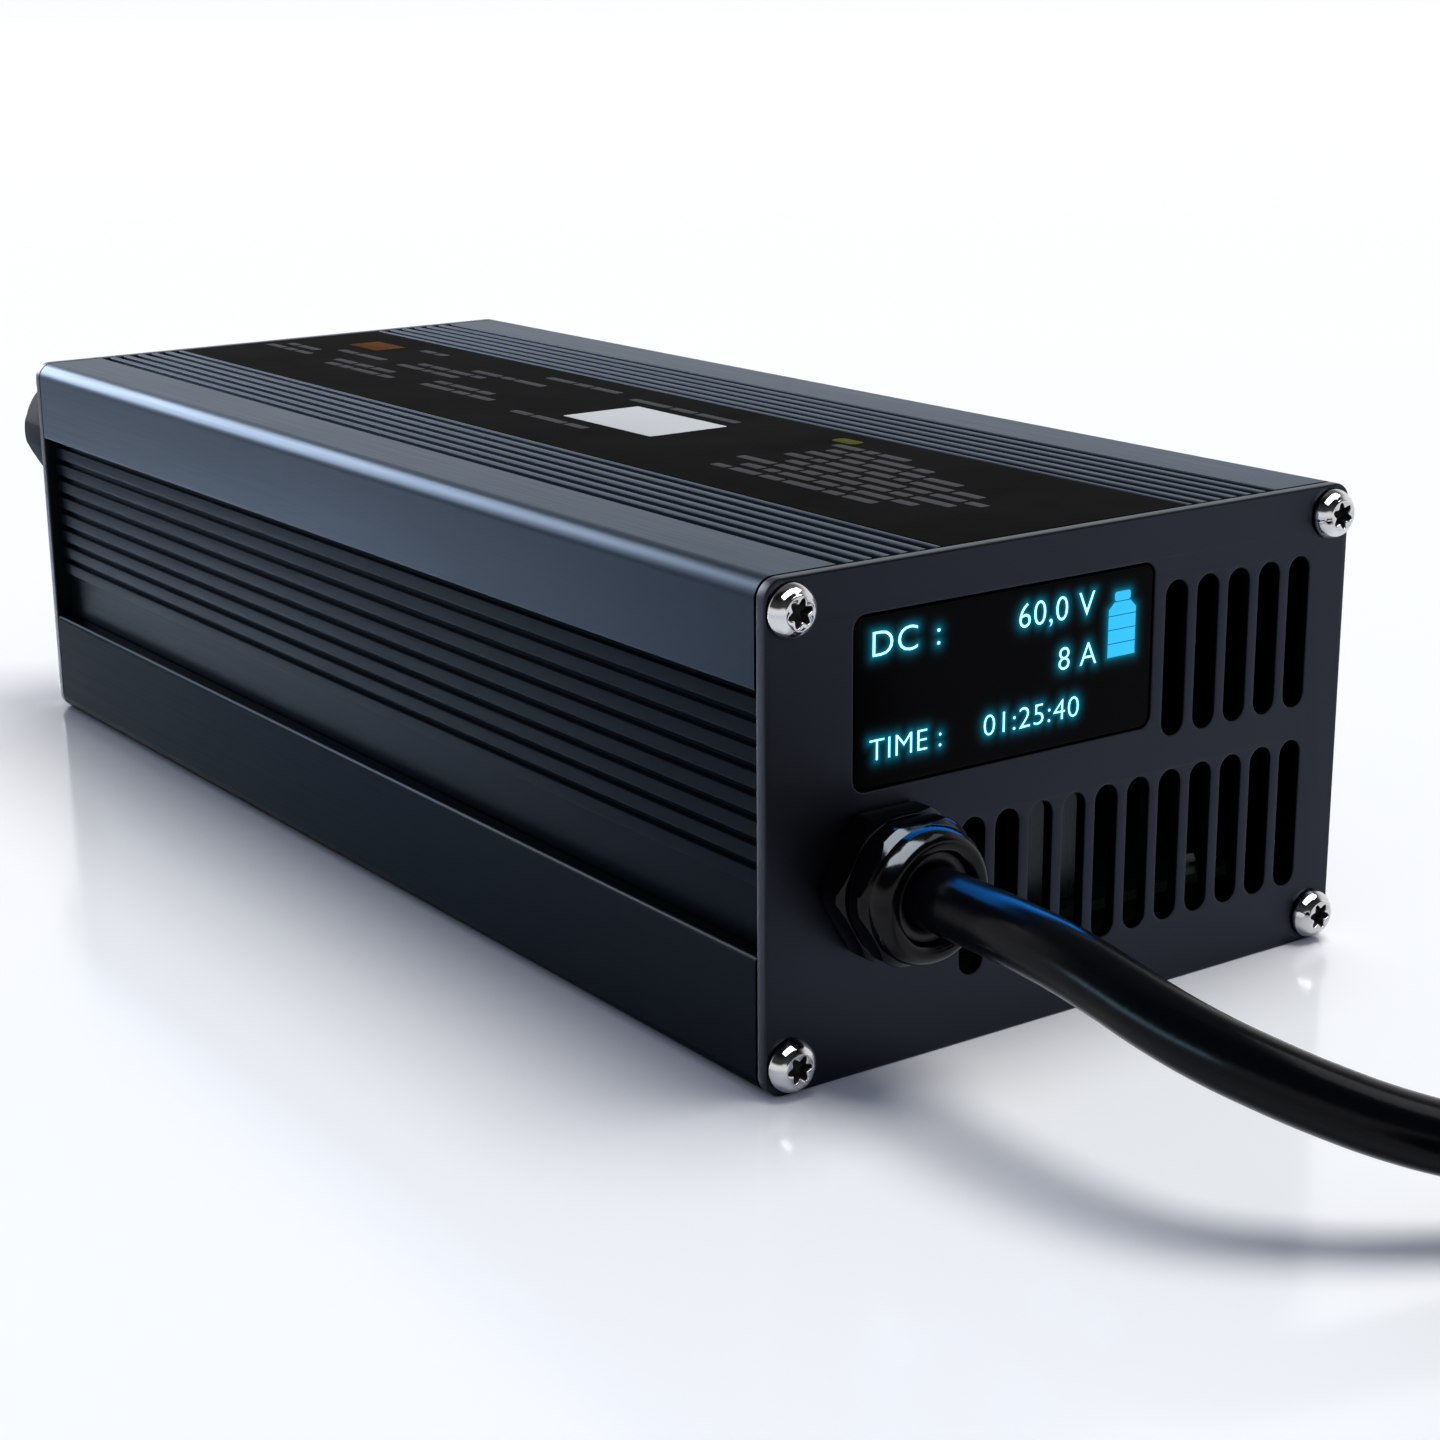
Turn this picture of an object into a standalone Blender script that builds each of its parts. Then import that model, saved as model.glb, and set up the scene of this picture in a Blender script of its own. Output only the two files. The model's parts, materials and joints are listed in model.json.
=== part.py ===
"""Electric scooter charger: ribbed case, end plates, display, cable glands, electronics, fan and output cord.

Metres, +Z up. X runs across the case, Y from the front plate to the rear plate. The origin lies on the floor,
under the middle of the charger with its two glands.
"""

import math

import bmesh
import bpy
from mathutils import Matrix, Vector

MM = 0.001
CLEARANCE = 0.3 * MM  # between pieces that seat on each other

# Case
CASE_WIDTH = 109.0 * MM
CASE_HEIGHT = 72.0 * MM
CASE_LENGTH = 248.0 * MM  # over both end plates
CORNER_RADIUS = 3.0 * MM
PLATE_THICKNESS = 2.0 * MM

# Upper shell, an extrusion that is open at the bottom
SHELL_WALL = 2.0 * MM
TOP_BAND = 13.6 * MM  # plain strip along each top edge
TOP_GROOVES = 6
TOP_GROOVE_PITCH = 3.05 * MM
TOP_GROOVE_WIDTH = 1.65 * MM
TOP_GROOVE_DEPTH = 1.0 * MM
TOP_LAND = 0.9 * MM  # last rib, beside the label
SIDE_BAND = 15.0 * MM  # plain strip down from each top edge
RIB_PITCH = 3.41 * MM
RIB_HEIGHT = 2.35 * MM
FIRST_RIB_DROP = 1.9 * MM  # from the side band down to the first rib
RIB_RECESS = 2.0 * MM
GROOVE_RECESS = 3.2 * MM
PLAIN_BAND = 7.0 * MM  # least height between the last rib and the tray

# Lower shell, a tray whose edge holds the upper shell in a groove
FLOOR_THICKNESS = 2.4 * MM
TRAY_WALL = 2.2 * MM
TRAY_HEIGHT = 20.0 * MM
LIP_CHAMFER = 0.6 * MM
TONGUE_DEPTH = 3.0 * MM
INNER_LIP_WIDTH = 1.6 * MM
INNER_LIP_RISE = 1.5 * MM
GROOVE_BED = 2.2 * MM

# Screw channels in the corners of both shells
CHANNEL_INSET_X = 4.0 * MM
CHANNEL_INSET_Z = 4.4 * MM
CHANNEL_WALL = 1.4 * MM
CHANNEL_SLIT = 1.2 * MM
END_SCREW_RADIUS = 2.0 * MM
END_SCREW_LENGTH = 12.0 * MM
END_HEAD_RADIUS = 3.8 * MM
END_HEAD_HEIGHT = 2.2 * MM
LOBE_RADIUS = 1.55 * MM
LOBE_VALLEY = 1.1 * MM
LOBE_DEPTH = 1.5 * MM

# Ventilation slots of the front plate
SLOT_WIDTH = 4.3 * MM
SLOT_PITCH = 6.3 * MM
SLOT_EDGE = 10.0 * MM  # from the last slot's middle to the plate's edge
SLOT_GAP = 2.0 * MM  # least metal beside the first slot of a row
SLOT_BELOW = 10.1 * MM  # from the plate's lower edge to the lower row
SLOT_ABOVE = 10.2 * MM  # from the upper row to the plate's top edge
SLOT_BAR = 5.3 * MM  # between the two rows

# Display
WINDOW_INSET_X = 14.65 * MM  # from the plate's left edge to the cut-out
WINDOW_DROP = 6.85 * MM  # from the plate's top edge to the cut-out
WINDOW_WIDTH = 54.6 * MM
WINDOW_HEIGHT = 24.5 * MM
WINDOW_CORNER = 2.0 * MM
WINDOW_FLANGE = 1.6 * MM
WINDOW_FLANGE_THICKNESS = 1.2 * MM
WINDOW_INSET = 0.2 * MM  # of the glass behind the plate's face
PANEL_THICKNESS = 5.0 * MM

# Label
LABEL_THICKNESS = 0.5 * MM

# Cable glands
GLAND_INSET = 20.0 * MM  # from the plate's left edge to the gland's axis
GLAND_DROP = 12.65 * MM  # from the display's cut-out down to the gland's axis
REAR_GLAND_INSET = 16.4 * MM
REAR_GLAND_DROP = 17.0 * MM  # from the plate's top edge
THREAD_RADIUS = 8.0 * MM
HEXAGON_WIDTH = 20.0 * MM  # across the flats of the front flange
REAR_HEXAGON_WIDTH = 22.6 * MM
HEXAGON_CHAMFER = 0.5 * MM
FLANGE_RADIUS = 11.2 * MM  # of the turned blank that the flats are cut from
REAR_FLANGE_RADIUS = 12.6 * MM
FLANGE_THICKNESS = 4.4 * MM
COLLAR_LENGTH = 2.4 * MM  # thread that stands in the dome nut
LOCKNUT_WIDTH = 19.0 * MM
LOCKNUT_RADIUS = 10.4 * MM
LOCKNUT_THICKNESS = 4.5 * MM
THREAD_SPARE = 1.5 * MM  # thread past the lock nut
NUT_WIDTH = 19.6 * MM
NUT_RADIUS = 10.6 * MM
NUT_LENGTH = 7.0 * MM
NUT_DOME = 3.4 * MM
REAR_NUT_WIDTH = 22.6 * MM
REAR_NUT_RADIUS = 12.0 * MM
REAR_NUT_LENGTH = 19.0 * MM
REAR_NUT_DOME = 3.0 * MM
MOUTH_RADIUS = 6.6 * MM
MOUTH_LAND = 1.2 * MM
SEAL_WALL = 1.9 * MM
SEAL_INSET = 1.6 * MM  # of the seal behind the nut's mouth

# Cord
CORD_RADIUS = 4.5 * MM
CORD_STEP = 10.0 * MM
CORD_END = (2.2 * MM, 89.2 * MM, 8.6 * MM)  # where the free stretch meets the coil
COIL_OFFSET = 0.8 * MM  # of the coil's middle to the right of that end
COIL_RADIUS = 50.0 * MM  # to the middle of its turns
COIL_LIFT = 1.5 * MM
COIL_BASE_BEVEL = 2.0 * MM
TIE_WIDTH = 12.0 * MM
TIE_THICKNESS = 1.1 * MM
TIE_SLACK = 0.8 * MM  # beside the turns, which curve inside the straight strap
TIE_ANGLES = (200.0, 335.0)

# Plug
PLUG_RADIUS = 9.3 * MM
PLUG_LENGTH = 42.0 * MM
PLUG_CAVITY = 16.0 * MM
PLUG_WALL = 1.0 * MM
PLUG_LIFT = 0.1 * MM
PLUG_SHOULDER = 1.5 * MM
PLUG_SHOULDER_LENGTH = 4.0 * MM
INSERT_THICKNESS = 4.0 * MM
PIN_RADIUS = 1.2 * MM
PIN_LENGTH = 10.0 * MM
PIN_CIRCLE = 4.0 * MM
BOOT_LENGTH = 24.0 * MM
BOOT_COLLAR = 7.0 * MM
BOOT_TIP_RADIUS = 5.6 * MM
BOOT_RADIUS = 7.6 * MM

# Boards
BOARD_EDGE = 11.5 * MM  # from the case's side to the board
BOARD_THICKNESS = 1.6 * MM
BOARD_FRONT = 9.0 * MM  # from the front plate's face
BOARD_REAR = 25.0 * MM  # from the rear plate's face
BOARD_CORNER = 1.5 * MM
STANDOFF_RADIUS = 3.0 * MM
STANDOFF_HEIGHT = 7.0 * MM
STANDOFF_INSET_X = 5.0 * MM
STANDOFF_INSET_Y = 6.0 * MM
SHEET_THICKNESS = 0.4 * MM
BOARD_SCREW_RADIUS = 1.5 * MM
BOARD_SCREW_LENGTH = 6.0 * MM
BOARD_HEAD_RADIUS = 2.7 * MM
BOARD_HEAD_HEIGHT = 1.8 * MM

# Power parts; each place is the distance from the board's side edge and from the front or rear of the board
CORE_PLACE = (20.0 * MM, 71.0 * MM)
CORE_WIDTH = 44.0 * MM
CORE_HEIGHT = 38.0 * MM
CORE_DEPTH = 16.0 * MM
CORE_LEG = 6.5 * MM
CORE_YOKE = 6.0 * MM
CORE_POST = 12.0 * MM
CORE_ROUNDING = 1.0 * MM
WINDING_CORNER = 3.0 * MM
WINDING_BORE_CORNER = 0.2 * MM
CHOKE_PLACE = (16.0 * MM, 20.0 * MM)
CHOKE_RADIUS = 9.0 * MM
CHOKE_TUBE = 5.0 * MM
INDUCTOR_PLACE = (12.0 * MM, 59.0 * MM)
INDUCTOR_RADIUS = 9.0 * MM
INDUCTOR_TUBE = 4.5 * MM
CAPACITOR_PLACES = ((13.0 * MM, 87.0 * MM), (13.0 * MM, 114.0 * MM))
CAPACITOR_RADIUS = 12.5 * MM
CAPACITOR_HEIGHT = 42.0 * MM
CAPACITOR_LIP = 1.0 * MM
CAPACITOR_WAIST = 4.0 * MM
SINK_BASE = 3.0 * MM
SINK_LENGTH = 38.0 * MM
SINK_HEIGHT = 38.0 * MM
SINK_FINS = 6
SINK_FIN_THICKNESS = 1.6 * MM
SINK_FIN_LENGTH = 9.0 * MM
OUTPUT_SINK_PLACE = (40.5 * MM, 3.0 * MM)
INPUT_SINK_PLACE = (19.0 * MM, 96.0 * MM)
DEVICE_WIDTH = 16.0 * MM
DEVICE_HEIGHT = 20.0 * MM
DEVICE_THICKNESS = 4.6 * MM
DEVICE_RAISE = 12.0 * MM  # of its body over the board
LEAD_WIDTH = 1.2 * MM
LEAD_THICKNESS = 0.7 * MM
LEAD_PITCH = 5.4 * MM
LEAD_OVERLAP = 1.0 * MM
FUSE_PLACE = (25.0 * MM, 32.0 * MM)
FUSE_RADIUS = 2.6 * MM
FUSE_CAP_RADIUS = 3.0 * MM
FUSE_CAP = 5.0 * MM
FUSE_LENGTH = 20.0 * MM
RELAY_PLACE = (13.0 * MM, 18.0 * MM)
RELAY_SIZE = (19.0 * MM, 15.0 * MM, 15.5 * MM)

# Fan
FAN_WALL_GAP = 2.3 * MM  # from the upper shell's wall
FAN_SIZE = 50.0 * MM
FAN_DEPTH = 15.0 * MM
FAN_BORE = 23.5 * MM
FAN_CORNER = 3.0 * MM
FAN_SCREW_PITCH = 40.0 * MM
FAN_SCREW_RADIUS = 1.8 * MM
FAN_SCREW_LENGTH = 12.0 * MM
FAN_HEAD_RADIUS = 3.4 * MM
FAN_HEAD_HEIGHT = 1.9 * MM
BOSS_RADIUS = 11.0 * MM
BOSS_DEPTH = 4.0 * MM
STRUT_WIDTH = 3.0 * MM
STRUT_DEPTH = 2.5 * MM
STRUT_ROOT = 1.0 * MM
HUB_RADIUS = 11.0 * MM
HUB_GAP = 0.6 * MM
HUB_FRONT_GAP = 1.0 * MM
HUB_CHAMFER = 1.0 * MM
SHAFT_RADIUS = 1.5 * MM
SHAFT_LENGTH = 3.0 * MM
BLADE_COUNT = 7
BLADE_TIP = 22.0 * MM
BLADE_CHORD = 9.5 * MM
BLADE_THICKNESS = 1.2 * MM
BLADE_ROOT = 1.0 * MM  # of each blade inside the hub
BLADE_PITCH = 38.0  # degrees at the hub
BLADE_TWIST = 14.0  # degrees less at the tip
GRILLE_RADIUS = 21.5 * MM
GRILLE_COLUMNS = 7
GRILLE_BAR = 5.0 * MM

# Places that follow from the sizes above
HALF_WIDTH = CASE_WIDTH / 2
RIB_SPACE = CASE_HEIGHT - SIDE_BAND - FIRST_RIB_DROP - PLAIN_BAND - TRAY_HEIGHT
RIB_COUNT = int((RIB_SPACE - RIB_HEIGHT) / RIB_PITCH) + 1
GROOVE_BAND = (TOP_GROOVES - 1) * TOP_GROOVE_PITCH + TOP_GROOVE_WIDTH
LABEL_WIDTH = CASE_WIDTH - 2 * (TOP_BAND + GROOVE_BAND + TOP_LAND)
SHELL_INSIDE_X = HALF_WIDTH - GROOVE_RECESS - SHELL_WALL
SHELL_INSIDE_Z = CASE_HEIGHT - TOP_GROOVE_DEPTH - SHELL_WALL
WINDOW_X = WINDOW_INSET_X + WINDOW_WIDTH / 2 - HALF_WIDTH
WINDOW_Z = CASE_HEIGHT - WINDOW_DROP - WINDOW_HEIGHT / 2
GLAND_X = GLAND_INSET - HALF_WIDTH
GLAND_Z = WINDOW_Z - WINDOW_HEIGHT / 2 - GLAND_DROP
REAR_GLAND_X = REAR_GLAND_INSET - HALF_WIDTH
REAR_GLAND_Z = CASE_HEIGHT - REAR_GLAND_DROP
SLOT_LENGTH = (CASE_HEIGHT - SLOT_BELOW - SLOT_BAR - SLOT_ABOVE) / 2
LOWER_SLOT_Z = SLOT_BELOW + SLOT_LENGTH / 2
UPPER_SLOT_Z = CASE_HEIGHT - SLOT_ABOVE - SLOT_LENGTH / 2
GLAND_STAND = CLEARANCE + FLANGE_THICKNESS + CLEARANCE
FRONT_REACH = GLAND_STAND + NUT_LENGTH
REAR_REACH = GLAND_STAND + REAR_NUT_LENGTH
FRONT_FACE = FRONT_REACH - (CASE_LENGTH + FRONT_REACH + REAR_REACH) / 2
REAR_FACE = FRONT_FACE + CASE_LENGTH
SHELL_FRONT = FRONT_FACE + PLATE_THICKNESS + CLEARANCE
SHELL_REAR = REAR_FACE - PLATE_THICKNESS - CLEARANCE
SHELL_MIDDLE = (SHELL_FRONT + SHELL_REAR) / 2
SHELL_LENGTH = SHELL_REAR - SHELL_FRONT
CHANNEL_RADIUS = END_SCREW_RADIUS + CLEARANCE
CHANNEL_X = HALF_WIDTH - CHANNEL_INSET_X
CORD_BORE = CORD_RADIUS + CLEARANCE
LABEL_RECESS = LABEL_THICKNESS + CLEARANCE
BOARD_BOTTOM = FLOOR_THICKNESS + CLEARANCE + STANDOFF_HEIGHT + CLEARANCE
BOARD_TOP = BOARD_BOTTOM + BOARD_THICKNESS
PARTS_Z = BOARD_TOP + CLEARANCE
BOARD_WIDTH = CASE_WIDTH - 2 * BOARD_EDGE
BOARD_LENGTH = CASE_LENGTH - BOARD_FRONT - BOARD_REAR
BOARD_NEAR = FRONT_FACE + BOARD_FRONT
BOARD_FAR = BOARD_NEAR + BOARD_LENGTH
FAN_X = SHELL_INSIDE_X - FAN_WALL_GAP - FAN_SIZE / 2
FAN_Z = (FLOOR_THICKNESS + SHELL_INSIDE_Z) / 2
FAN_REAR = REAR_FACE - PLATE_THICKNESS - CLEARANCE
FAN_FRONT = FAN_REAR - FAN_DEPTH
COIL_OUTER = COIL_RADIUS + 2 * CORD_RADIUS
COIL_INNER = COIL_RADIUS - 2 * CORD_RADIUS
COIL_X = CORD_END[0] + COIL_OFFSET
COIL_Y = FRONT_FACE - CORD_END[1] - 0.86 * CORD_RADIUS - CLEARANCE - COIL_OUTER
TAIL_REACH = COIL_OUTER + CORD_RADIUS + CLEARANCE
COIL_LAYER = 2 * CORD_RADIUS
COIL_TOP = COIL_LIFT + COIL_LAYER * 2

# Distances ahead of the front plate along the gland's axis, then X, distance and Z of the free stretch, in millimetres
CORD_IN_GLAND = (-14.0, 6.0, 20.0)
CORD_ROUTE = [
    (-35.3, 38.0, 27.6),
    (-32.3, 59.0, 22.6),
    (-18.3, 76.0, 15.0),
]

# Route of the cord's tail round the coil's middle: degrees, distance from the turns, Z, in millimetres
TAIL_ROUTE = [
    (28.9, -0.5, 11.4),
    (17.8, 3.2, 10.6),
    (7.4, 6.1, 10.0),
    (-2.0, 8.5, 9.6),
    (-10.2, 10.4, 9.4),
]


def clear_scene():
    for thing in list(bpy.data.objects):
        bpy.data.objects.remove(thing, do_unlink=True)


def new_collection(name):
    collection = bpy.data.collections.new(name)
    bpy.context.scene.collection.children.link(collection)
    return collection


clear_scene()
CHARGER = new_collection("electric_scooter_charger")
CUTTERS = new_collection("cutters")


def principled(name, colour, roughness, metallic=0.0):
    material = bpy.data.materials.new(name)
    material.use_nodes = True
    shader = material.node_tree.nodes["Principled BSDF"]
    shader.inputs["Base Color"].default_value = (*colour, 1.0)
    shader.inputs["Roughness"].default_value = roughness
    shader.inputs["Metallic"].default_value = metallic
    return material


def case_finish(name):
    return principled(name, (0.030, 0.040, 0.055), 0.38, 0.7)


def steel(name):
    return principled(name, (0.75, 0.75, 0.76), 0.22, 1.0)


def aluminium(name):
    return principled(name, (0.62, 0.63, 0.65), 0.35, 1.0)


def black_plastic(name):
    return principled(name, (0.012, 0.012, 0.014), 0.32)


def rubber(name):
    return principled(name, (0.015, 0.015, 0.016), 0.6)


def put(name, data, material, location=(0.0, 0.0, 0.0), rotation=(0.0, 0.0, 0.0), collection=None):
    thing = bpy.data.objects.new(name, data)
    thing.location = location
    thing.rotation_euler = rotation
    if material is not None:
        data.materials.append(material)
    (collection or CHARGER).objects.link(thing)
    return thing


ACROSS = (math.pi / 2, 0.0, 0.0)  # a flat outline in X and Z, with its thickness along Y
ALONG = (math.pi / 2, 0.0, math.pi / 2)  # a flat outline in Y and Z, with its thickness along X
FORWARD = (math.pi / 2, 0.0, 0.0)  # a turned piece whose top points to the front
BACKWARD = (-math.pi / 2, 0.0, 0.0)  # a turned piece whose top points to the rear


def arc(centre, radius, start, end, steps):
    """Points along an arc, with its angles in degrees."""
    points = []
    for step in range(steps + 1):
        angle = math.radians(start + (end - start) * step / steps)
        points.append((centre[0] + radius * math.cos(angle), centre[1] + radius * math.sin(angle)))
    return points


def circle(centre, radius, sides):
    return arc(centre, radius, 0.0, 360.0, sides)[:-1]


def rounded_rectangle(centre, width, height, radius, steps=3):
    points = []
    for turn, (side, rise) in enumerate(((1, 1), (-1, 1), (-1, -1), (1, -1))):
        corner = (
            centre[0] + side * (width / 2 - radius),
            centre[1] + rise * (height / 2 - radius),
        )
        points += arc(corner, radius, 90.0 * turn, 90.0 * (turn + 1), steps)
    return points


def slot_outline(centre, width, length, steps=4):
    reach = length / 2 - width / 2
    top = arc((centre[0], centre[1] + reach), width / 2, 0.0, 180.0, steps)
    bottom = arc((centre[0], centre[1] - reach), width / 2, 180.0, 360.0, steps)
    return top + bottom


def mirrored(half):
    """A closed outline from its right half."""
    return half + [(-x, z) for x, z in reversed(half)]


def flat(name, outlines, thickness, material, location, rotation=(0.0, 0.0, 0.0)):
    """A sheet or an extrusion: the first outline is its edge and the others are holes."""
    curve = bpy.data.curves.new(name, "CURVE")
    curve.dimensions = "2D"
    curve.fill_mode = "BOTH"
    curve.extrude = thickness / 2
    for outline in outlines:
        spline = curve.splines.new("POLY")
        spline.points.add(len(outline) - 1)
        for point, (x, y) in zip(spline.points, outline):
            point.co = (x, y, 0.0, 1.0)
        spline.use_cyclic_u = True
    return put(name, curve, material, location, rotation)


def turned(name, profile, sides, material, location, rotation=(0.0, 0.0, 0.0), closed=True):
    """A profile of radius and height, down its outer side first, turned about Z."""
    mesh = bpy.data.meshes.new(name)
    count = len(profile)
    edges = [(i, i + 1) for i in range(count - 1)]
    if closed:
        edges.append((count - 1, 0))
    mesh.from_pydata([(radius, 0.0, height) for radius, height in profile], edges, [])
    thing = put(name, mesh, material, location, rotation)
    screw = thing.modifiers.new("Turn", "SCREW")
    screw.axis = "Z"
    screw.angle = 2 * math.pi
    screw.steps = sides
    screw.render_steps = sides
    screw.use_merge_vertices = True
    screw.merge_threshold = 0.00001
    return thing


def block(name, size, material, location, rotation=(0.0, 0.0, 0.0), collection=None):
    mesh = bpy.data.meshes.new(name)
    shape = bmesh.new()
    bmesh.ops.create_cube(shape, size=1.0)
    bmesh.ops.scale(shape, vec=size, verts=shape.verts)
    shape.to_mesh(mesh)
    shape.free()
    return put(name, mesh, material, location, rotation, collection)


def prism(name, sides, radius, depth, location, rotation=(0.0, 0.0, 0.0), turn=0.0):
    """A straight cutter with a regular base."""
    mesh = bpy.data.meshes.new(name)
    shape = bmesh.new()
    bmesh.ops.create_cone(
        shape, cap_ends=True, segments=sides, radius1=radius, radius2=radius, depth=depth
    )
    bmesh.ops.rotate(shape, verts=shape.verts, matrix=Matrix.Rotation(turn, 3, "Z"))
    shape.to_mesh(mesh)
    shape.free()
    return cutter(put(name, mesh, None, location, rotation, CUTTERS))


def cutter(thing):
    thing.hide_render = True
    thing.display_type = "WIRE"
    return thing


def combine(thing, other, operation):
    """Cut, trim or join one piece with another shape."""
    boolean = thing.modifiers.new(operation.title(), "BOOLEAN")
    boolean.operation = operation
    boolean.solver = "EXACT"
    boolean.object = other


def as_cutter(thing):
    """The mesh of a flat outline, as a shape that other pieces can be cut or joined with."""
    bpy.context.view_layer.update()
    solid = bpy.data.meshes.new_from_object(thing.evaluated_get(bpy.context.evaluated_depsgraph_get()))
    weld(solid)
    swap = put(thing.name + "_shape", solid, None, (0.0, 0.0, 0.0), (0.0, 0.0, 0.0), CUTTERS)
    swap.matrix_world = thing.matrix_world.copy()
    bpy.data.objects.remove(thing, do_unlink=True)
    return cutter(swap)


def weld(mesh):
    shape = bmesh.new()
    shape.from_mesh(mesh)
    bmesh.ops.remove_doubles(shape, verts=shape.verts, dist=0.00001)
    bmesh.ops.recalc_face_normals(shape, faces=shape.faces)
    shape.to_mesh(mesh)
    shape.free()


def screw_channel(corner, start, facing, end):
    """Outline of a slit screw channel, from one wall of its corner to the other."""
    ring = CHANNEL_RADIUS + CHANNEL_WALL
    outer_slit = math.degrees(math.asin(CHANNEL_SLIT / 2 / ring))
    inner_slit = math.degrees(math.asin(CHANNEL_SLIT / 2 / CHANNEL_RADIUS))
    turn = math.copysign(1.0, end - start)
    first = facing - turn * inner_slit
    around = first - turn * (360.0 - 2 * inner_slit)
    return (
        arc(corner, ring, start, facing - turn * outer_slit, 2)
        + arc(corner, CHANNEL_RADIUS, first, around, 12)
        + arc(corner, ring, facing + turn * outer_slit, end, 2)
    )


def upper_shell():
    """Ribbed upper half of the case: sides, top and the two upper screw channels."""
    groove_x = HALF_WIDTH - GROOVE_RECESS
    rib_x = HALF_WIDTH - RIB_RECESS
    inner_x = SHELL_INSIDE_X
    inner_z = SHELL_INSIDE_Z
    band_z = CASE_HEIGHT - SIDE_BAND
    half = [
        (LABEL_WIDTH / 2, CASE_HEIGHT - LABEL_RECESS),
        (LABEL_WIDTH / 2, CASE_HEIGHT),
    ]
    for groove in reversed(range(TOP_GROOVES)):
        outer = HALF_WIDTH - TOP_BAND - groove * TOP_GROOVE_PITCH
        inner = outer - TOP_GROOVE_WIDTH
        bottom = CASE_HEIGHT - TOP_GROOVE_DEPTH
        half += [(inner, CASE_HEIGHT), (inner, bottom), (outer, bottom), (outer, CASE_HEIGHT)]
    corner = (HALF_WIDTH - CORNER_RADIUS, CASE_HEIGHT - CORNER_RADIUS)
    half += arc(corner, CORNER_RADIUS, 90.0, 0.0, 4)
    half += [(HALF_WIDTH, band_z), (groove_x, band_z)]
    for rib in range(RIB_COUNT):
        top = band_z - FIRST_RIB_DROP - rib * RIB_PITCH
        bottom = top - RIB_HEIGHT
        half += [(groove_x, top), (rib_x, top), (rib_x, bottom), (groove_x, bottom)]
    tongue_z = TRAY_HEIGHT - TONGUE_DEPTH
    half += [(groove_x, tongue_z), (inner_x, tongue_z)]
    channel = (CHANNEL_X, CASE_HEIGHT - CHANNEL_INSET_Z)
    ring = CHANNEL_RADIUS + CHANNEL_WALL
    start = 180.0 + math.degrees(math.acos((CHANNEL_X - inner_x) / ring))
    end = 180.0 - math.degrees(math.asin((inner_z - channel[1]) / ring))
    half += screw_channel(channel, start, 225.0, end)
    half.append((LABEL_WIDTH / 2, inner_z))
    place = (0.0, SHELL_MIDDLE, 0.0)
    flat("upper_shell", [mirrored(half)], SHELL_LENGTH, case_finish("upper_shell"), place, ACROSS)


def lower_shell():
    """Tray of the case: floor, walls with the groove for the upper shell, and the two lower screw channels."""
    wall_x = HALF_WIDTH - TRAY_WALL
    groove_outer = HALF_WIDTH - GROOVE_RECESS + CLEARANCE
    groove_inner = HALF_WIDTH - GROOVE_RECESS - SHELL_WALL - CLEARANCE
    lip_inner = groove_inner - INNER_LIP_WIDTH
    groove_z = TRAY_HEIGHT - TONGUE_DEPTH - CLEARANCE
    lip_z = TRAY_HEIGHT + INNER_LIP_RISE
    bed_z = groove_z - GROOVE_BED
    corner = (HALF_WIDTH - CORNER_RADIUS, CORNER_RADIUS)
    half = arc(corner, CORNER_RADIUS, -90.0, 0.0, 4)
    half += [
        (HALF_WIDTH, TRAY_HEIGHT - LIP_CHAMFER),
        (HALF_WIDTH - LIP_CHAMFER, TRAY_HEIGHT),
        (groove_outer, TRAY_HEIGHT),
        (groove_outer, groove_z),
        (groove_inner, groove_z),
        (groove_inner, lip_z),
        (lip_inner, lip_z),
        (lip_inner, bed_z),
        (wall_x, bed_z - (wall_x - lip_inner)),
    ]
    channel = (CHANNEL_X, CHANNEL_INSET_Z)
    ring = CHANNEL_RADIUS + CHANNEL_WALL
    start = math.degrees(math.acos((wall_x - CHANNEL_X) / ring))
    end = 180.0 + math.degrees(math.asin((CHANNEL_INSET_Z - FLOOR_THICKNESS) / ring))
    half += screw_channel(channel, start, 135.0, end)
    place = (0.0, SHELL_MIDDLE, 0.0)
    flat("lower_shell", [mirrored(half)], SHELL_LENGTH, case_finish("lower_shell"), place, ACROSS)


def plate_outline():
    return rounded_rectangle((0.0, CASE_HEIGHT / 2), CASE_WIDTH, CASE_HEIGHT, CORNER_RADIUS, 4)


def corner_places():
    """Middles of the four end screws, in X and Z."""
    high = CASE_HEIGHT - CHANNEL_INSET_Z
    return [(side * CHANNEL_X, z) for z in (high, CHANNEL_INSET_Z) for side in (-1, 1)]


def screw_holes():
    return [circle(place, CHANNEL_RADIUS, 12) for place in corner_places()]


def front_slots():
    last = HALF_WIDTH - SLOT_EDGE
    window_edge = WINDOW_X + WINDOW_WIDTH / 2
    gland_edge = GLAND_X + FLANGE_RADIUS
    slots = []
    for edge, z in ((window_edge, UPPER_SLOT_Z), (gland_edge, LOWER_SLOT_Z)):
        count = int((last - SLOT_WIDTH / 2 - SLOT_GAP - edge) / SLOT_PITCH) + 1
        slots += [slot_outline((last - column * SLOT_PITCH, z), SLOT_WIDTH, SLOT_LENGTH) for column in range(count)]
    return slots


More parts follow.
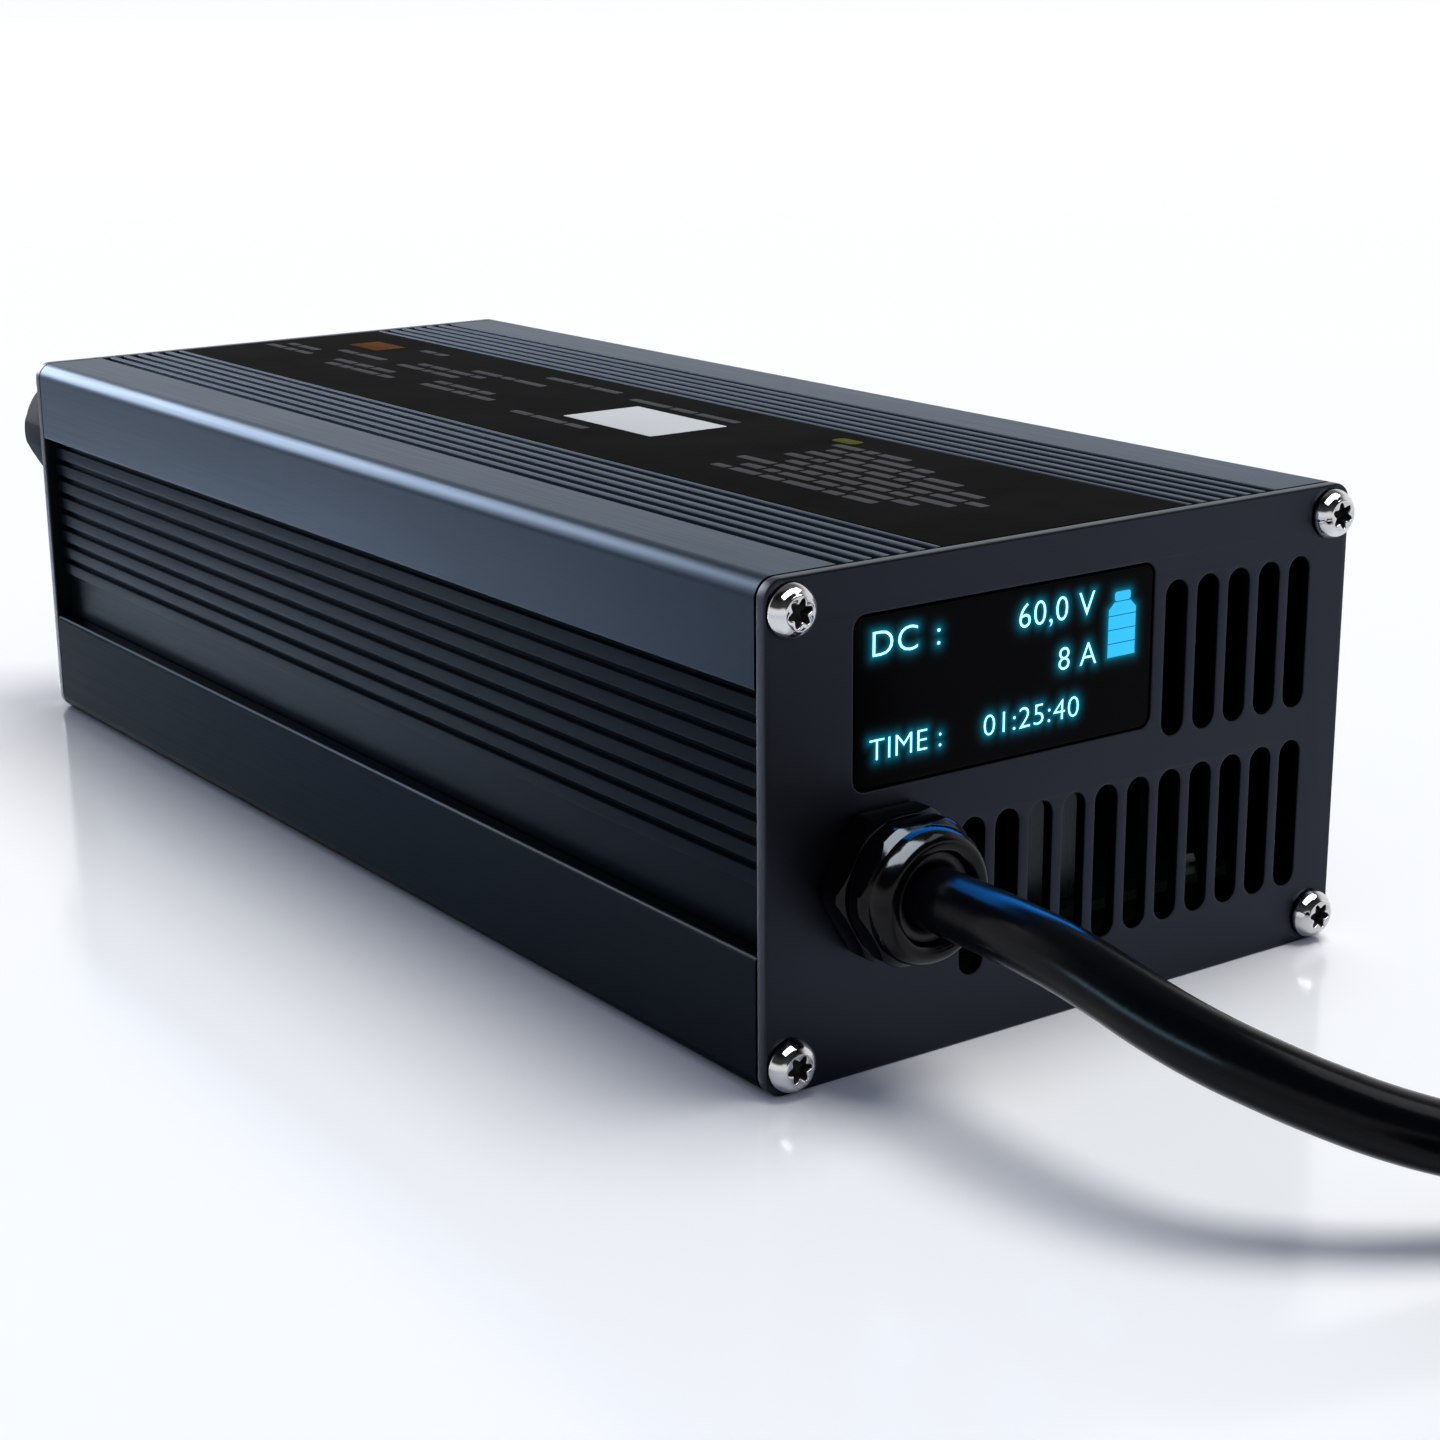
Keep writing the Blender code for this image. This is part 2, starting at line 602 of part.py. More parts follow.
def front_plate():
    """Front plate: display cut-out, two rows of slots, gland hole and screw holes."""
    window = rounded_rectangle((WINDOW_X, WINDOW_Z), WINDOW_WIDTH, WINDOW_HEIGHT, WINDOW_CORNER)
    gland = circle((GLAND_X, GLAND_Z), THREAD_RADIUS + CLEARANCE, 20)
    outlines = [plate_outline(), window, gland, *screw_holes(), *front_slots()]
    place = (0.0, FRONT_FACE + PLATE_THICKNESS / 2, 0.0)
    flat("front_plate", outlines, PLATE_THICKNESS, case_finish("front_plate"), place, ACROSS)


def grille_slots():
    """Upright slots that fill a circle in front of the fan, with a bar across the middle."""
    slots = []
    middle = (GRILLE_COLUMNS - 1) / 2
    for column in range(GRILLE_COLUMNS):
        offset = (column - middle) * SLOT_PITCH
        reach = math.sqrt(GRILLE_RADIUS**2 - offset**2)
        length = reach - GRILLE_BAR / 2
        for side in (-1, 1):
            z = FAN_Z + side * (GRILLE_BAR / 2 + length / 2)
            slots.append(slot_outline((FAN_X + offset, z), SLOT_WIDTH, length, 3))
    return slots


def fan_screw_places():
    reach = FAN_SCREW_PITCH / 2
    return [(FAN_X + side * reach, FAN_Z + rise * reach) for rise in (1, -1) for side in (-1, 1)]


def rear_plate():
    """Rear plate: fan grille, gland hole and the holes of the end screws and fan screws."""
    gland = circle((REAR_GLAND_X, REAR_GLAND_Z), THREAD_RADIUS + CLEARANCE, 20)
    fan_holes = [circle(place, FAN_SCREW_RADIUS + CLEARANCE, 10) for place in fan_screw_places()]
    outlines = [plate_outline(), gland, *screw_holes(), *fan_holes, *grille_slots()]
    place = (0.0, REAR_FACE - PLATE_THICKNESS / 2, 0.0)
    flat("rear_plate", outlines, PLATE_THICKNESS, case_finish("rear_plate"), place, ACROSS)


def button_profile(head_radius, head_height, shank_radius, shank_length):
    """Domed head over a straight shank, from the middle of the head down."""
    return [
        (0.0, head_height),
        (head_radius * 0.45, head_height),
        (head_radius * 0.84, head_height * 0.68),
        (head_radius, head_height * 0.22),
        (head_radius, 0.0),
        (shank_radius, 0.0),
        (shank_radius, -shank_length),
        (0.0, -shank_length),
    ]


def lobed_socket(name, radius, valley, depth, place, rotation):
    """Cutter for a six-lobed driver socket."""
    points = []
    for step in range(12):
        reach = radius if step % 2 == 0 else valley
        points += arc((0.0, 0.0), reach, step * 30.0, step * 30.0 + 1.0, 1)[:1]
    return as_cutter(flat(name, [points], depth * 2, None, place, rotation))


def end_screws():
    """Four button head screws through each plate into the channels."""
    under_head = CLEARANCE
    profile = button_profile(END_HEAD_RADIUS, END_HEAD_HEIGHT, END_SCREW_RADIUS, END_SCREW_LENGTH)
    ends = (("front", FRONT_FACE - under_head, FORWARD, -1), ("rear", REAR_FACE + under_head, BACKWARD, 1))
    for end, y, rotation, outward in ends:
        for number, (x, z) in enumerate(corner_places(), 1):
            name = f"{end}_screw_{number}"
            screw = turned(name, profile, 12, steel(name), (x, y, z), rotation, closed=False)
            place = (x, y + outward * END_HEAD_HEIGHT, z)
            combine(screw, lobed_socket(name, LOBE_RADIUS, LOBE_VALLEY, LOBE_DEPTH, place, rotation), "DIFFERENCE")


def display():
    """Black glass in the front plate's cut-out and the display panel behind it."""
    glass = principled("display_window", (0.004, 0.004, 0.006), 0.08)
    boss_size = (WINDOW_WIDTH - 2 * CLEARANCE, WINDOW_HEIGHT - 2 * CLEARANCE)
    back_y = FRONT_FACE + PLATE_THICKNESS + CLEARANCE
    boss_front = FRONT_FACE + WINDOW_INSET
    boss_back = back_y + WINDOW_FLANGE_THICKNESS / 2
    middle = (WINDOW_X, WINDOW_Z)
    wide = (WINDOW_WIDTH + 2 * WINDOW_FLANGE, WINDOW_HEIGHT + 2 * WINDOW_FLANGE)
    flange_outline = rounded_rectangle((0.0, 0.0), *wide, WINDOW_CORNER, 1)
    boss_outline = rounded_rectangle((0.0, 0.0), *boss_size, WINDOW_CORNER - CLEARANCE, 2)
    place = (middle[0], back_y + WINDOW_FLANGE_THICKNESS / 2, middle[1])
    window = solid_from(
        flat("display_window", [flange_outline], WINDOW_FLANGE_THICKNESS, glass, place, ACROSS)
    )
    boss_place = (middle[0], (boss_front + boss_back) / 2, middle[1])
    boss = as_cutter(flat("window_boss", [boss_outline], boss_back - boss_front, None, boss_place, ACROSS))
    combine(window, boss, "UNION")
    panel_front = back_y + WINDOW_FLANGE_THICKNESS + CLEARANCE
    block(
        "display_panel",
        (wide[0], PANEL_THICKNESS, wide[1]),
        principled("display_panel", (0.03, 0.09, 0.05), 0.5),
        (middle[0], panel_front + PANEL_THICKNESS / 2, middle[1]),
    )


def solid_from(thing):
    """A flat piece made a mesh, so that it can be cut or joined."""
    bpy.context.view_layer.update()
    mesh = bpy.data.meshes.new_from_object(thing.evaluated_get(bpy.context.evaluated_depsgraph_get()))
    weld(mesh)
    name = thing.name
    place = thing.matrix_world.copy()
    bpy.data.objects.remove(thing, do_unlink=True)
    solid = put(name, mesh, None)
    solid.matrix_world = place
    return solid


def top_label():
    size = (LABEL_WIDTH - 2 * CLEARANCE, SHELL_LENGTH, LABEL_THICKNESS)
    place = (0.0, SHELL_MIDDLE, CASE_HEIGHT - LABEL_THICKNESS / 2)
    block("top_label", size, principled("top_label", (0.008, 0.008, 0.008), 0.55), place)


def hexagon_trim(piece, width, reach):
    """Flats on a turned piece, facing up and down as it is fitted."""
    name = piece.name + "_flats"
    radius = width / math.sqrt(3)
    trim = prism(name, 6, radius, 4 * reach, piece.location, piece.rotation_euler, math.radians(30.0))
    combine(piece, trim, "INTERSECT")


def gland_body(name, place, rotation, width, radius):
    """Threaded tube with a hexagonal flange; its top stands in the dome nut, its bottom inside the case."""
    low = CLEARANCE
    high = low + FLANGE_THICKNESS
    tail = -(PLATE_THICKNESS + CLEARANCE + LOCKNUT_THICKNESS + THREAD_SPARE)
    profile = [
        (THREAD_RADIUS, high + COLLAR_LENGTH),
        (THREAD_RADIUS, high),
        (radius - HEXAGON_CHAMFER, high),
        (radius, high - HEXAGON_CHAMFER),
        (radius, low),
        (THREAD_RADIUS, low),
        (THREAD_RADIUS, tail),
        (CORD_BORE, tail),
        (CORD_BORE, high + COLLAR_LENGTH),
    ]
    body = turned(name, profile, 18, black_plastic(name), place, rotation)
    hexagon_trim(body, width, NUT_LENGTH)


def gland_locknut(name, place, rotation):
    high = -(PLATE_THICKNESS + CLEARANCE)
    low = high - LOCKNUT_THICKNESS
    bore = THREAD_RADIUS + CLEARANCE
    profile = [
        (LOCKNUT_RADIUS - HEXAGON_CHAMFER, high),
        (LOCKNUT_RADIUS, high - HEXAGON_CHAMFER),
        (LOCKNUT_RADIUS, low),
        (bore, low),
        (bore, high),
    ]
    nut = turned(name, profile, 18, black_plastic(name), place, rotation)
    hexagon_trim(nut, LOCKNUT_WIDTH, NUT_LENGTH)


def gland_seal(name, place, rotation, nut_length):
    low = CLEARANCE + FLANGE_THICKNESS + COLLAR_LENGTH + CLEARANCE
    high = GLAND_STAND + nut_length - SEAL_INSET
    outer = CORD_BORE + SEAL_WALL
    throat = MOUTH_RADIUS - CLEARANCE
    step = high - SEAL_INSET
    profile = [
        (throat, high),
        (throat, step),
        (outer, step - (outer - throat)),
        (outer, low),
        (CORD_BORE, low),
        (CORD_BORE, high),
    ]
    turned(name, profile, 14, rubber(name), place, rotation)


def gland_nut(name, place, rotation, length, width, outer, dome):
    """Dome nut: flats at its foot that run out into a dome with a round mouth."""
    low = GLAND_STAND
    high = low + length
    shoulder = high - dome
    collar = THREAD_RADIUS + CLEARANCE
    seal = CORD_BORE + SEAL_WALL + CLEARANCE
    throat_z = high - 2 * SEAL_INSET + CLEARANCE
    profile = [(MOUTH_RADIUS, high)]
    for step in range(1, 4):
        angle = math.radians(90.0 - 30.0 * step)
        radius = MOUTH_RADIUS + MOUTH_LAND + (outer - MOUTH_RADIUS - MOUTH_LAND) * math.cos(angle)
        profile.append((radius, shoulder + dome * math.sin(angle)))
    profile.insert(1, (MOUTH_RADIUS + MOUTH_LAND, high))
    profile += [
        (outer, low + HEXAGON_CHAMFER),
        (outer - HEXAGON_CHAMFER, low),
        (collar, low),
        (collar, low + COLLAR_LENGTH),
        (seal, low + COLLAR_LENGTH),
        (seal, throat_z - (seal - MOUTH_RADIUS)),
        (MOUTH_RADIUS, throat_z),
    ]
    nut = turned(name, profile, 18, black_plastic(name), place, rotation)
    hexagon_trim(nut, width, length)


def front_gland():
    place = (GLAND_X, FRONT_FACE, GLAND_Z)
    gland_body("front_gland_body", place, FORWARD, HEXAGON_WIDTH, FLANGE_RADIUS)
    gland_locknut("front_gland_locknut", place, FORWARD)
    gland_seal("front_gland_seal", place, FORWARD, NUT_LENGTH)
    gland_nut("front_gland_nut", place, FORWARD, NUT_LENGTH, NUT_WIDTH, NUT_RADIUS, NUT_DOME)


def rear_gland():
    place = (REAR_GLAND_X, REAR_FACE, REAR_GLAND_Z)
    gland_body("rear_gland_body", place, BACKWARD, REAR_HEXAGON_WIDTH, REAR_FLANGE_RADIUS)
    gland_locknut("rear_gland_locknut", place, BACKWARD)
    gland_seal("rear_gland_seal", place, BACKWARD, REAR_NUT_LENGTH)
    gland_nut(
        "rear_gland_nut", place, BACKWARD, REAR_NUT_LENGTH, REAR_NUT_WIDTH, REAR_NUT_RADIUS, REAR_NUT_DOME
    )


def smooth_line(points, spacing):
    """Points about one spacing apart along a smooth curve through the given points."""
    line = []
    for index in range(len(points) - 1):
        before = points[max(index - 1, 0)]
        first, second = points[index], points[index + 1]
        after = points[min(index + 2, len(points) - 1)]
        pieces = max(1, round((second - first).length / spacing))
        for piece in range(pieces):
            line.append(blended(before, first, second, after, piece / pieces))
    line.append(points[-1])
    return line


def blended(before, first, second, after, share):
    """A point between the second and third of four points, on the smooth curve through them all."""
    return 0.5 * (
        2 * first
        + (second - before) * share
        + (2 * before - 5 * first + 4 * second - after) * share**2
        + (3 * first - before - 3 * second + after) * share**3
    )


def free_route():
    """The cord's route from inside the case to the coil."""
    points = [Vector((GLAND_X, FRONT_FACE - ahead * MM, GLAND_Z)) for ahead in CORD_IN_GLAND]
    points += [Vector((x * MM, FRONT_FACE - ahead * MM, z * MM)) for x, ahead, z in CORD_ROUTE]
    return points + [Vector((CORD_END[0], FRONT_FACE - CORD_END[1], CORD_END[2]))]


def tail_route():
    """The cord's route from the coil's rim to the plug."""
    points = []
    for degrees, distance, z in TAIL_ROUTE:
        angle = math.radians(degrees)
        reach = TAIL_REACH + distance * MM
        points.append(Vector((COIL_X + reach * math.cos(angle), COIL_Y + reach * math.sin(angle), z * MM)))
    return points


def cord_tube(name, route):
    """A plain tube along a route."""
    line = smooth_line(route, CORD_STEP)
    curve = bpy.data.curves.new(name, "CURVE")
    curve.dimensions = "3D"
    curve.bevel_depth = CORD_RADIUS
    curve.bevel_resolution = 2
    curve.use_fill_caps = True
    spline = curve.splines.new("POLY")
    spline.points.add(len(line) - 1)
    for point, place in zip(spline.points, line):
        point.co = (*place, 1.0)
    put(name, curve, principled(name, (0.008, 0.008, 0.010), 0.3))


def cord_coil():
    """Outer shape of the coiled part of the cord."""
    layer = COIL_LIFT + COIL_LAYER
    profile = [
        (COIL_RADIUS + CORD_RADIUS, COIL_TOP),
        (COIL_OUTER, layer),
        (COIL_OUTER, COIL_LIFT + COIL_BASE_BEVEL),
        (COIL_OUTER - COIL_BASE_BEVEL, COIL_LIFT),
        (COIL_INNER + COIL_BASE_BEVEL, COIL_LIFT),
        (COIL_INNER, COIL_LIFT + COIL_BASE_BEVEL),
        (COIL_INNER, layer),
        (COIL_RADIUS - CORD_RADIUS, COIL_TOP),
    ]
    material = principled("output_cord_coil", (0.008, 0.008, 0.010), 0.3)
    turned("output_cord_coil", profile, 30, material, (COIL_X, COIL_Y, 0.0))


def cord_ties():
    """Two straps round the coil's turns."""
    hole_width = COIL_OUTER - COIL_INNER + 2 * TIE_SLACK
    hole_height = COIL_TOP - COIL_LIFT + 2 * CLEARANCE
    middle_z = (COIL_TOP + COIL_LIFT) / 2
    hole = rounded_rectangle((0.0, 0.0), hole_width, hole_height, COIL_BASE_BEVEL / 2, 1)
    edge = rounded_rectangle(
        (0.0, 0.0), hole_width + 2 * TIE_THICKNESS, hole_height + 2 * TIE_THICKNESS, COIL_BASE_BEVEL, 2
    )
    for number, angle in enumerate(TIE_ANGLES, 1):
        turn = math.radians(angle)
        place = (COIL_X + COIL_RADIUS * math.cos(turn), COIL_Y + COIL_RADIUS * math.sin(turn), middle_z)
        name = f"cord_tie_{number}"
        flat(name, [edge, hole], TIE_WIDTH, rubber(name), place, (math.pi / 2, 0.0, turn))


def plug():
    """Three-pole plug at the cord's end: boot, metal shell and insert with its pins."""
    last = tail_route()[-1]
    x, y = last.x, last.y - CLEARANCE
    z = PLUG_RADIUS + PLUG_LIFT
    boot = [
        (0.0, 0.0),
        (BOOT_TIP_RADIUS, 0.0),
        (BOOT_RADIUS, BOOT_COLLAR - BOOT_LENGTH),
        (BOOT_RADIUS, -BOOT_LENGTH),
        (0.0, -BOOT_LENGTH),
    ]
    toward_cord = BACKWARD
    turned("plug_boot", boot, 16, rubber("plug_boot"), (x, y, z), toward_cord, closed=False)
    shell_top = -BOOT_LENGTH - CLEARANCE
    shell_end = shell_top - PLUG_LENGTH
    cavity = PLUG_RADIUS - PLUG_WALL
    shell = [
        (0.0, shell_top),
        (PLUG_RADIUS - PLUG_SHOULDER, shell_top),
        (PLUG_RADIUS, shell_top - PLUG_SHOULDER_LENGTH),
        (PLUG_RADIUS, shell_end),
        (cavity, shell_end),
        (cavity, shell_end + PLUG_CAVITY),
        (0.0, shell_end + PLUG_CAVITY),
    ]
    turned("plug_shell", shell, 18, aluminium("plug_shell"), (x, y, z), toward_cord, closed=False)
    insert_top = shell_end + PLUG_CAVITY - CLEARANCE
    insert = [
        (0.0, insert_top),
        (cavity - CLEARANCE, insert_top),
        (cavity - CLEARANCE, insert_top - INSERT_THICKNESS),
        (0.0, insert_top - INSERT_THICKNESS),
    ]
    disc = turned("plug_insert", insert, 16, black_plastic("plug_insert"), (x, y, z), toward_cord, closed=False)
    for number in range(3):
        angle = math.radians(90.0 + 120.0 * number)
        pin_x = x + PIN_CIRCLE * math.cos(angle)
        pin_z = z + PIN_CIRCLE * math.sin(angle)
        middle = insert_top - (INSERT_THICKNESS + PIN_LENGTH) / 2
        length = PIN_LENGTH + INSERT_THICKNESS / 2
        place = (pin_x, y + middle - INSERT_THICKNESS / 4, pin_z)
        combine(disc, prism(f"plug_pin_{number + 1}", 8, PIN_RADIUS, length, place, BACKWARD), "UNION")


def standoff_places():
    """Middles of the four standoffs, in X and Y."""
    x = BOARD_WIDTH / 2 - STANDOFF_INSET_X
    front = BOARD_NEAR + STANDOFF_INSET_Y
    rear = BOARD_FAR - STANDOFF_INSET_Y
    return [(side * x, y) for y in (front, rear) for side in (-1, 1)]


def on_board(side, place, end=1):
    """X and Y of a place given from the board's side edge and from its front (end 1) or rear (end -1)."""
    inward, along = place
    return side * (BOARD_WIDTH / 2 - inward), BOARD_NEAR + along if end > 0 else BOARD_FAR - along


def boards():
    """Main board on four standoffs, with an insulating sheet under it."""
    bore = BOARD_SCREW_RADIUS + CLEARANCE
    y = (BOARD_NEAR + BOARD_FAR) / 2
    edge = rounded_rectangle((0.0, 0.0), BOARD_WIDTH, BOARD_LENGTH, BOARD_CORNER, 1)
    holes = [circle((px, py - y), bore, 8) for px, py in standoff_places()]
    green = principled("main_board", (0.02, 0.10, 0.04), 0.5)
    place = (0.0, y, BOARD_BOTTOM + BOARD_THICKNESS / 2)
    flat("main_board", [edge, *holes], BOARD_THICKNESS, green, place)
    wells = [circle((px, py - y), STANDOFF_RADIUS + CLEARANCE, 8) for px, py in standoff_places()]
    sheet_place = (0.0, y, FLOOR_THICKNESS + CLEARANCE + SHEET_THICKNESS / 2)
    film = principled("insulating_sheet", (0.55, 0.50, 0.38), 0.5)
    flat("insulating_sheet", [edge, *wells], SHEET_THICKNESS, film, sheet_place)
    for number, (px, py) in enumerate(standoff_places(), 1):
        name = f"standoff_{number}"
        rings = [circle((0.0, 0.0), STANDOFF_RADIUS, 6), circle((0.0, 0.0), bore, 8)]
        post = (px, py, FLOOR_THICKNESS + CLEARANCE + STANDOFF_HEIGHT / 2)
        flat(name, rings, STANDOFF_HEIGHT, principled(name, (0.70, 0.52, 0.20), 0.35, 1.0), post)
        screw = f"board_screw_{number}"
        profile = button_profile(BOARD_HEAD_RADIUS, BOARD_HEAD_HEIGHT, BOARD_SCREW_RADIUS, BOARD_SCREW_LENGTH)
        turned(screw, profile, 8, steel(screw), (px, py, PARTS_Z), closed=False)


def transformer():
    """Ferrite core with two windows and the winding round its middle post."""
    x, y = on_board(-1, CORE_PLACE)
    window = (CORE_WIDTH - 2 * CORE_LEG - CORE_POST) / 2
    window_height = CORE_HEIGHT - 2 * CORE_YOKE
    offset = (CORE_POST + window) / 2
    edge = rounded_rectangle((0.0, 0.0), CORE_WIDTH, CORE_HEIGHT, CORE_ROUNDING, 1)
    windows = [
        [(side * offset + dx * window / 2, dz * window_height / 2) for dx, dz in ((1, 1), (-1, 1), (-1, -1), (1, -1))]
        for side in (-1, 1)
    ]
    ferrite = principled("transformer_core", (0.045, 0.045, 0.05), 0.6)
    place = (x, y, PARTS_Z + CORE_HEIGHT / 2)
    flat("transformer_core", [edge, *windows], CORE_DEPTH, ferrite, place, ALONG)
    wall = window - 2 * CLEARANCE
    hole = (CORE_DEPTH + 2 * CLEARANCE, CORE_POST + 2 * CLEARANCE)
    outer = rounded_rectangle((0.0, 0.0), hole[0] + 2 * wall, hole[1] + 2 * wall, WINDING_CORNER, 2)
    inner = rounded_rectangle((0.0, 0.0), *hole, WINDING_BORE_CORNER, 1)
    tape = principled("transformer_winding", (0.75, 0.55, 0.08), 0.45)
    flat("transformer_winding", [outer, inner], window_height - 2 * CLEARANCE, tape, place)


def toroid(name, place, radius, tube, colour):
    """A wound ring core that lies on the board."""
    profile = circle((radius, 0.0), tube, 7)
    profile.reverse()
    turned(name, profile, 16, principled(name, colour, 0.35, 0.4), (*place, PARTS_Z + tube))


def capacitors():
    """Two large electrolytic capacitors with a waist near the foot and a scored top."""
    neck = CAPACITOR_RADIUS - CAPACITOR_LIP
    for number, place in enumerate(CAPACITOR_PLACES, 1):
        name = f"bulk_capacitor_{number}"
        profile = [
            (0.0, CAPACITOR_HEIGHT),
            (neck, CAPACITOR_HEIGHT),
            (CAPACITOR_RADIUS, CAPACITOR_HEIGHT - CAPACITOR_LIP),
            (CAPACITOR_RADIUS, CAPACITOR_WAIST + CAPACITOR_LIP),
            (neck, CAPACITOR_WAIST),
            (CAPACITOR_RADIUS, CAPACITOR_WAIST - CAPACITOR_LIP),
            (CAPACITOR_RADIUS, 0.0),
            (0.0, 0.0),
        ]
        material = principled(name, (0.02, 0.025, 0.05), 0.35)
        turned(name, profile, 14, material, (*on_board(1, place), PARTS_Z), closed=False)


def heat_sink(name, place, side):
    """A standing comb of aluminium: a flat back for the device and fins on its other side."""
    outline = [(0.0, 0.0), (0.0, SINK_LENGTH)]
    spacing = (SINK_LENGTH - SINK_FIN_THICKNESS) / (SINK_FINS - 1)
    root = side * SINK_BASE
    tip = side * (SINK_BASE + SINK_FIN_LENGTH)
    for fin in reversed(range(SINK_FINS)):
        near = fin * spacing
        far = near + SINK_FIN_THICKNESS
        outline += [(root, far), (tip, far), (tip, near), (root, near)]
    flat(name, [outline], SINK_HEIGHT, aluminium(name), (*place, PARTS_Z + SINK_HEIGHT / 2))


def power_device(name, sink_place, side):
    """A flat power semiconductor against a heat sink's back, with three leads down to the board."""
    x = sink_place[0] - side * (CLEARANCE + DEVICE_THICKNESS / 2)
    y = sink_place[1] + SINK_LENGTH / 2
    z = PARTS_Z + DEVICE_RAISE + DEVICE_HEIGHT / 2
    body = block(name, (DEVICE_THICKNESS, DEVICE_WIDTH, DEVICE_HEIGHT), black_plastic(name), (x, y, z))
    length = DEVICE_RAISE + LEAD_OVERLAP
    for lead in (-1, 0, 1):
        place = (x, y + lead * LEAD_PITCH, PARTS_Z + length / 2)
        size = (LEAD_THICKNESS, LEAD_WIDTH, length)
        combine(body, cutter(block(f"{name}_lead", size, None, place, (0.0, 0.0, 0.0), CUTTERS)), "UNION")


def small_parts():
    """Fuse with its two end caps, lying on the board, and the relay."""
    half = FUSE_LENGTH / 2
    profile = [
        (0.0, half),
        (FUSE_CAP_RADIUS, half),
        (FUSE_CAP_RADIUS, half - FUSE_CAP),
        (FUSE_RADIUS, half - FUSE_CAP),
        (FUSE_RADIUS, FUSE_CAP - half),
        (FUSE_CAP_RADIUS, FUSE_CAP - half),
        (FUSE_CAP_RADIUS, -half),
        (0.0, -half),
    ]
    place = (*on_board(1, FUSE_PLACE, -1), PARTS_Z + FUSE_CAP_RADIUS)
    ceramic = principled("fuse", (0.75, 0.73, 0.68), 0.3)
    turned("fuse", profile, 10, ceramic, place, (0.0, math.pi / 2, 0.0), closed=False)
    relay_place = (*on_board(1, RELAY_PLACE, -1), PARTS_Z + RELAY_SIZE[2] / 2)
    block("relay", RELAY_SIZE, principled("relay", (0.02, 0.06, 0.25), 0.4), relay_place)


def fan_frame():
    """Square fan frame with a round bore, four struts and the bearing boss at its rear."""
    edge = rounded_rectangle((0.0, 0.0), FAN_SIZE, FAN_SIZE, FAN_CORNER, 2)
    bore = circle((0.0, 0.0), FAN_BORE, 24)
    holes = [circle((px - FAN_X, pz - FAN_Z), FAN_SCREW_RADIUS + CLEARANCE, 8) for px, pz in fan_screw_places()]
    middle = (FAN_X, (FAN_FRONT + FAN_REAR) / 2, FAN_Z)
    frame = solid_from(
        flat("fan_frame", [edge, bore, *holes], FAN_DEPTH, black_plastic("fan_frame"), middle, ACROSS)
    )
    strut_y = FAN_REAR - STRUT_DEPTH / 2
    for number, angle in enumerate((45.0, 135.0), 1):
        size = (2 * (FAN_BORE + STRUT_ROOT), STRUT_WIDTH, STRUT_DEPTH)
        place = (FAN_X, strut_y, FAN_Z)
        turn = (math.pi / 2, math.radians(angle), 0.0)
        strut = cutter(block(f"fan_strut_{number}", size, None, place, turn, CUTTERS))
        combine(frame, strut, "UNION")
    boss_place = (FAN_X, FAN_REAR - BOSS_DEPTH / 2, FAN_Z)
    combine(frame, prism("fan_boss", 16, BOSS_RADIUS, BOSS_DEPTH, boss_place, ACROSS), "UNION")
    shaft_hole = SHAFT_RADIUS + CLEARANCE
    combine(frame, prism("fan_bearing", 8, shaft_hole, 3 * BOSS_DEPTH, boss_place, ACROSS), "DIFFERENCE")


def fan_blades(hub_depth):
    """All blades as one shape about the fan's axis, which is Z here."""
    mesh = bpy.data.meshes.new("fan_blades")
    shape = bmesh.new()
    root = HUB_RADIUS - BLADE_ROOT
    length = BLADE_TIP - root
    for number in range(BLADE_COUNT):
        made = bmesh.ops.create_cube(shape, size=1.0)["verts"]
        bmesh.ops.scale(shape, vec=(length, BLADE_CHORD, BLADE_THICKNESS), verts=made)
        bmesh.ops.translate(shape, vec=(root + length / 2, 0.0, 0.0), verts=made)
        for corner in made:
            share = (corner.co.x - root) / length
            pitch = math.radians(BLADE_PITCH - BLADE_TWIST * share)
            corner.co = Matrix.Rotation(pitch, 3, "X") @ corner.co
        turn = Matrix.Rotation(2 * math.pi * number / BLADE_COUNT, 3, "Z")
        bmesh.ops.rotate(shape, verts=made, matrix=turn)
    bmesh.ops.translate(shape, vec=(0.0, 0.0, -hub_depth / 2), verts=shape.verts)
    shape.to_mesh(mesh)
    shape.free()
    return mesh


def fan_rotor():
    """Hub with its shaft and blades, free to turn in the frame's bearing."""
    hub_rear = FAN_REAR - BOSS_DEPTH - HUB_GAP
    depth = hub_rear - FAN_FRONT - HUB_FRONT_GAP
    profile = [
        (0.0, HUB_GAP + SHAFT_LENGTH),
        (SHAFT_RADIUS, HUB_GAP + SHAFT_LENGTH),
        (SHAFT_RADIUS, 0.0),
        (HUB_RADIUS, 0.0),
        (HUB_RADIUS, HUB_CHAMFER - depth),
        (HUB_RADIUS - HUB_CHAMFER, -depth),
        (0.0, -depth),
    ]
    place = (FAN_X, hub_rear, FAN_Z)
    rotor = turned("fan_rotor", profile, 21, black_plastic("fan_rotor"), place, BACKWARD, closed=False)
    blades = cutter(put("fan_blades", fan_blades(depth), None, place, BACKWARD, CUTTERS))
    combine(rotor, blades, "UNION")


def fan_screws():
    profile = button_profile(FAN_HEAD_RADIUS, FAN_HEAD_HEIGHT, FAN_SCREW_RADIUS, FAN_SCREW_LENGTH)
    for number, (x, z) in enumerate(fan_screw_places(), 1):
        name = f"fan_screw_{number}"
        turned(name, profile, 8, steel(name), (x, REAR_FACE + CLEARANCE, z), BACKWARD, closed=False)


def shade():
    """Smooth round faces with sharp edges kept."""
    for thing in CHARGER.objects:
        if thing.type == "MESH":
            thing.data.shade_smooth()
            thing.data.set_sharp_from_angle(angle=math.radians(35.0))


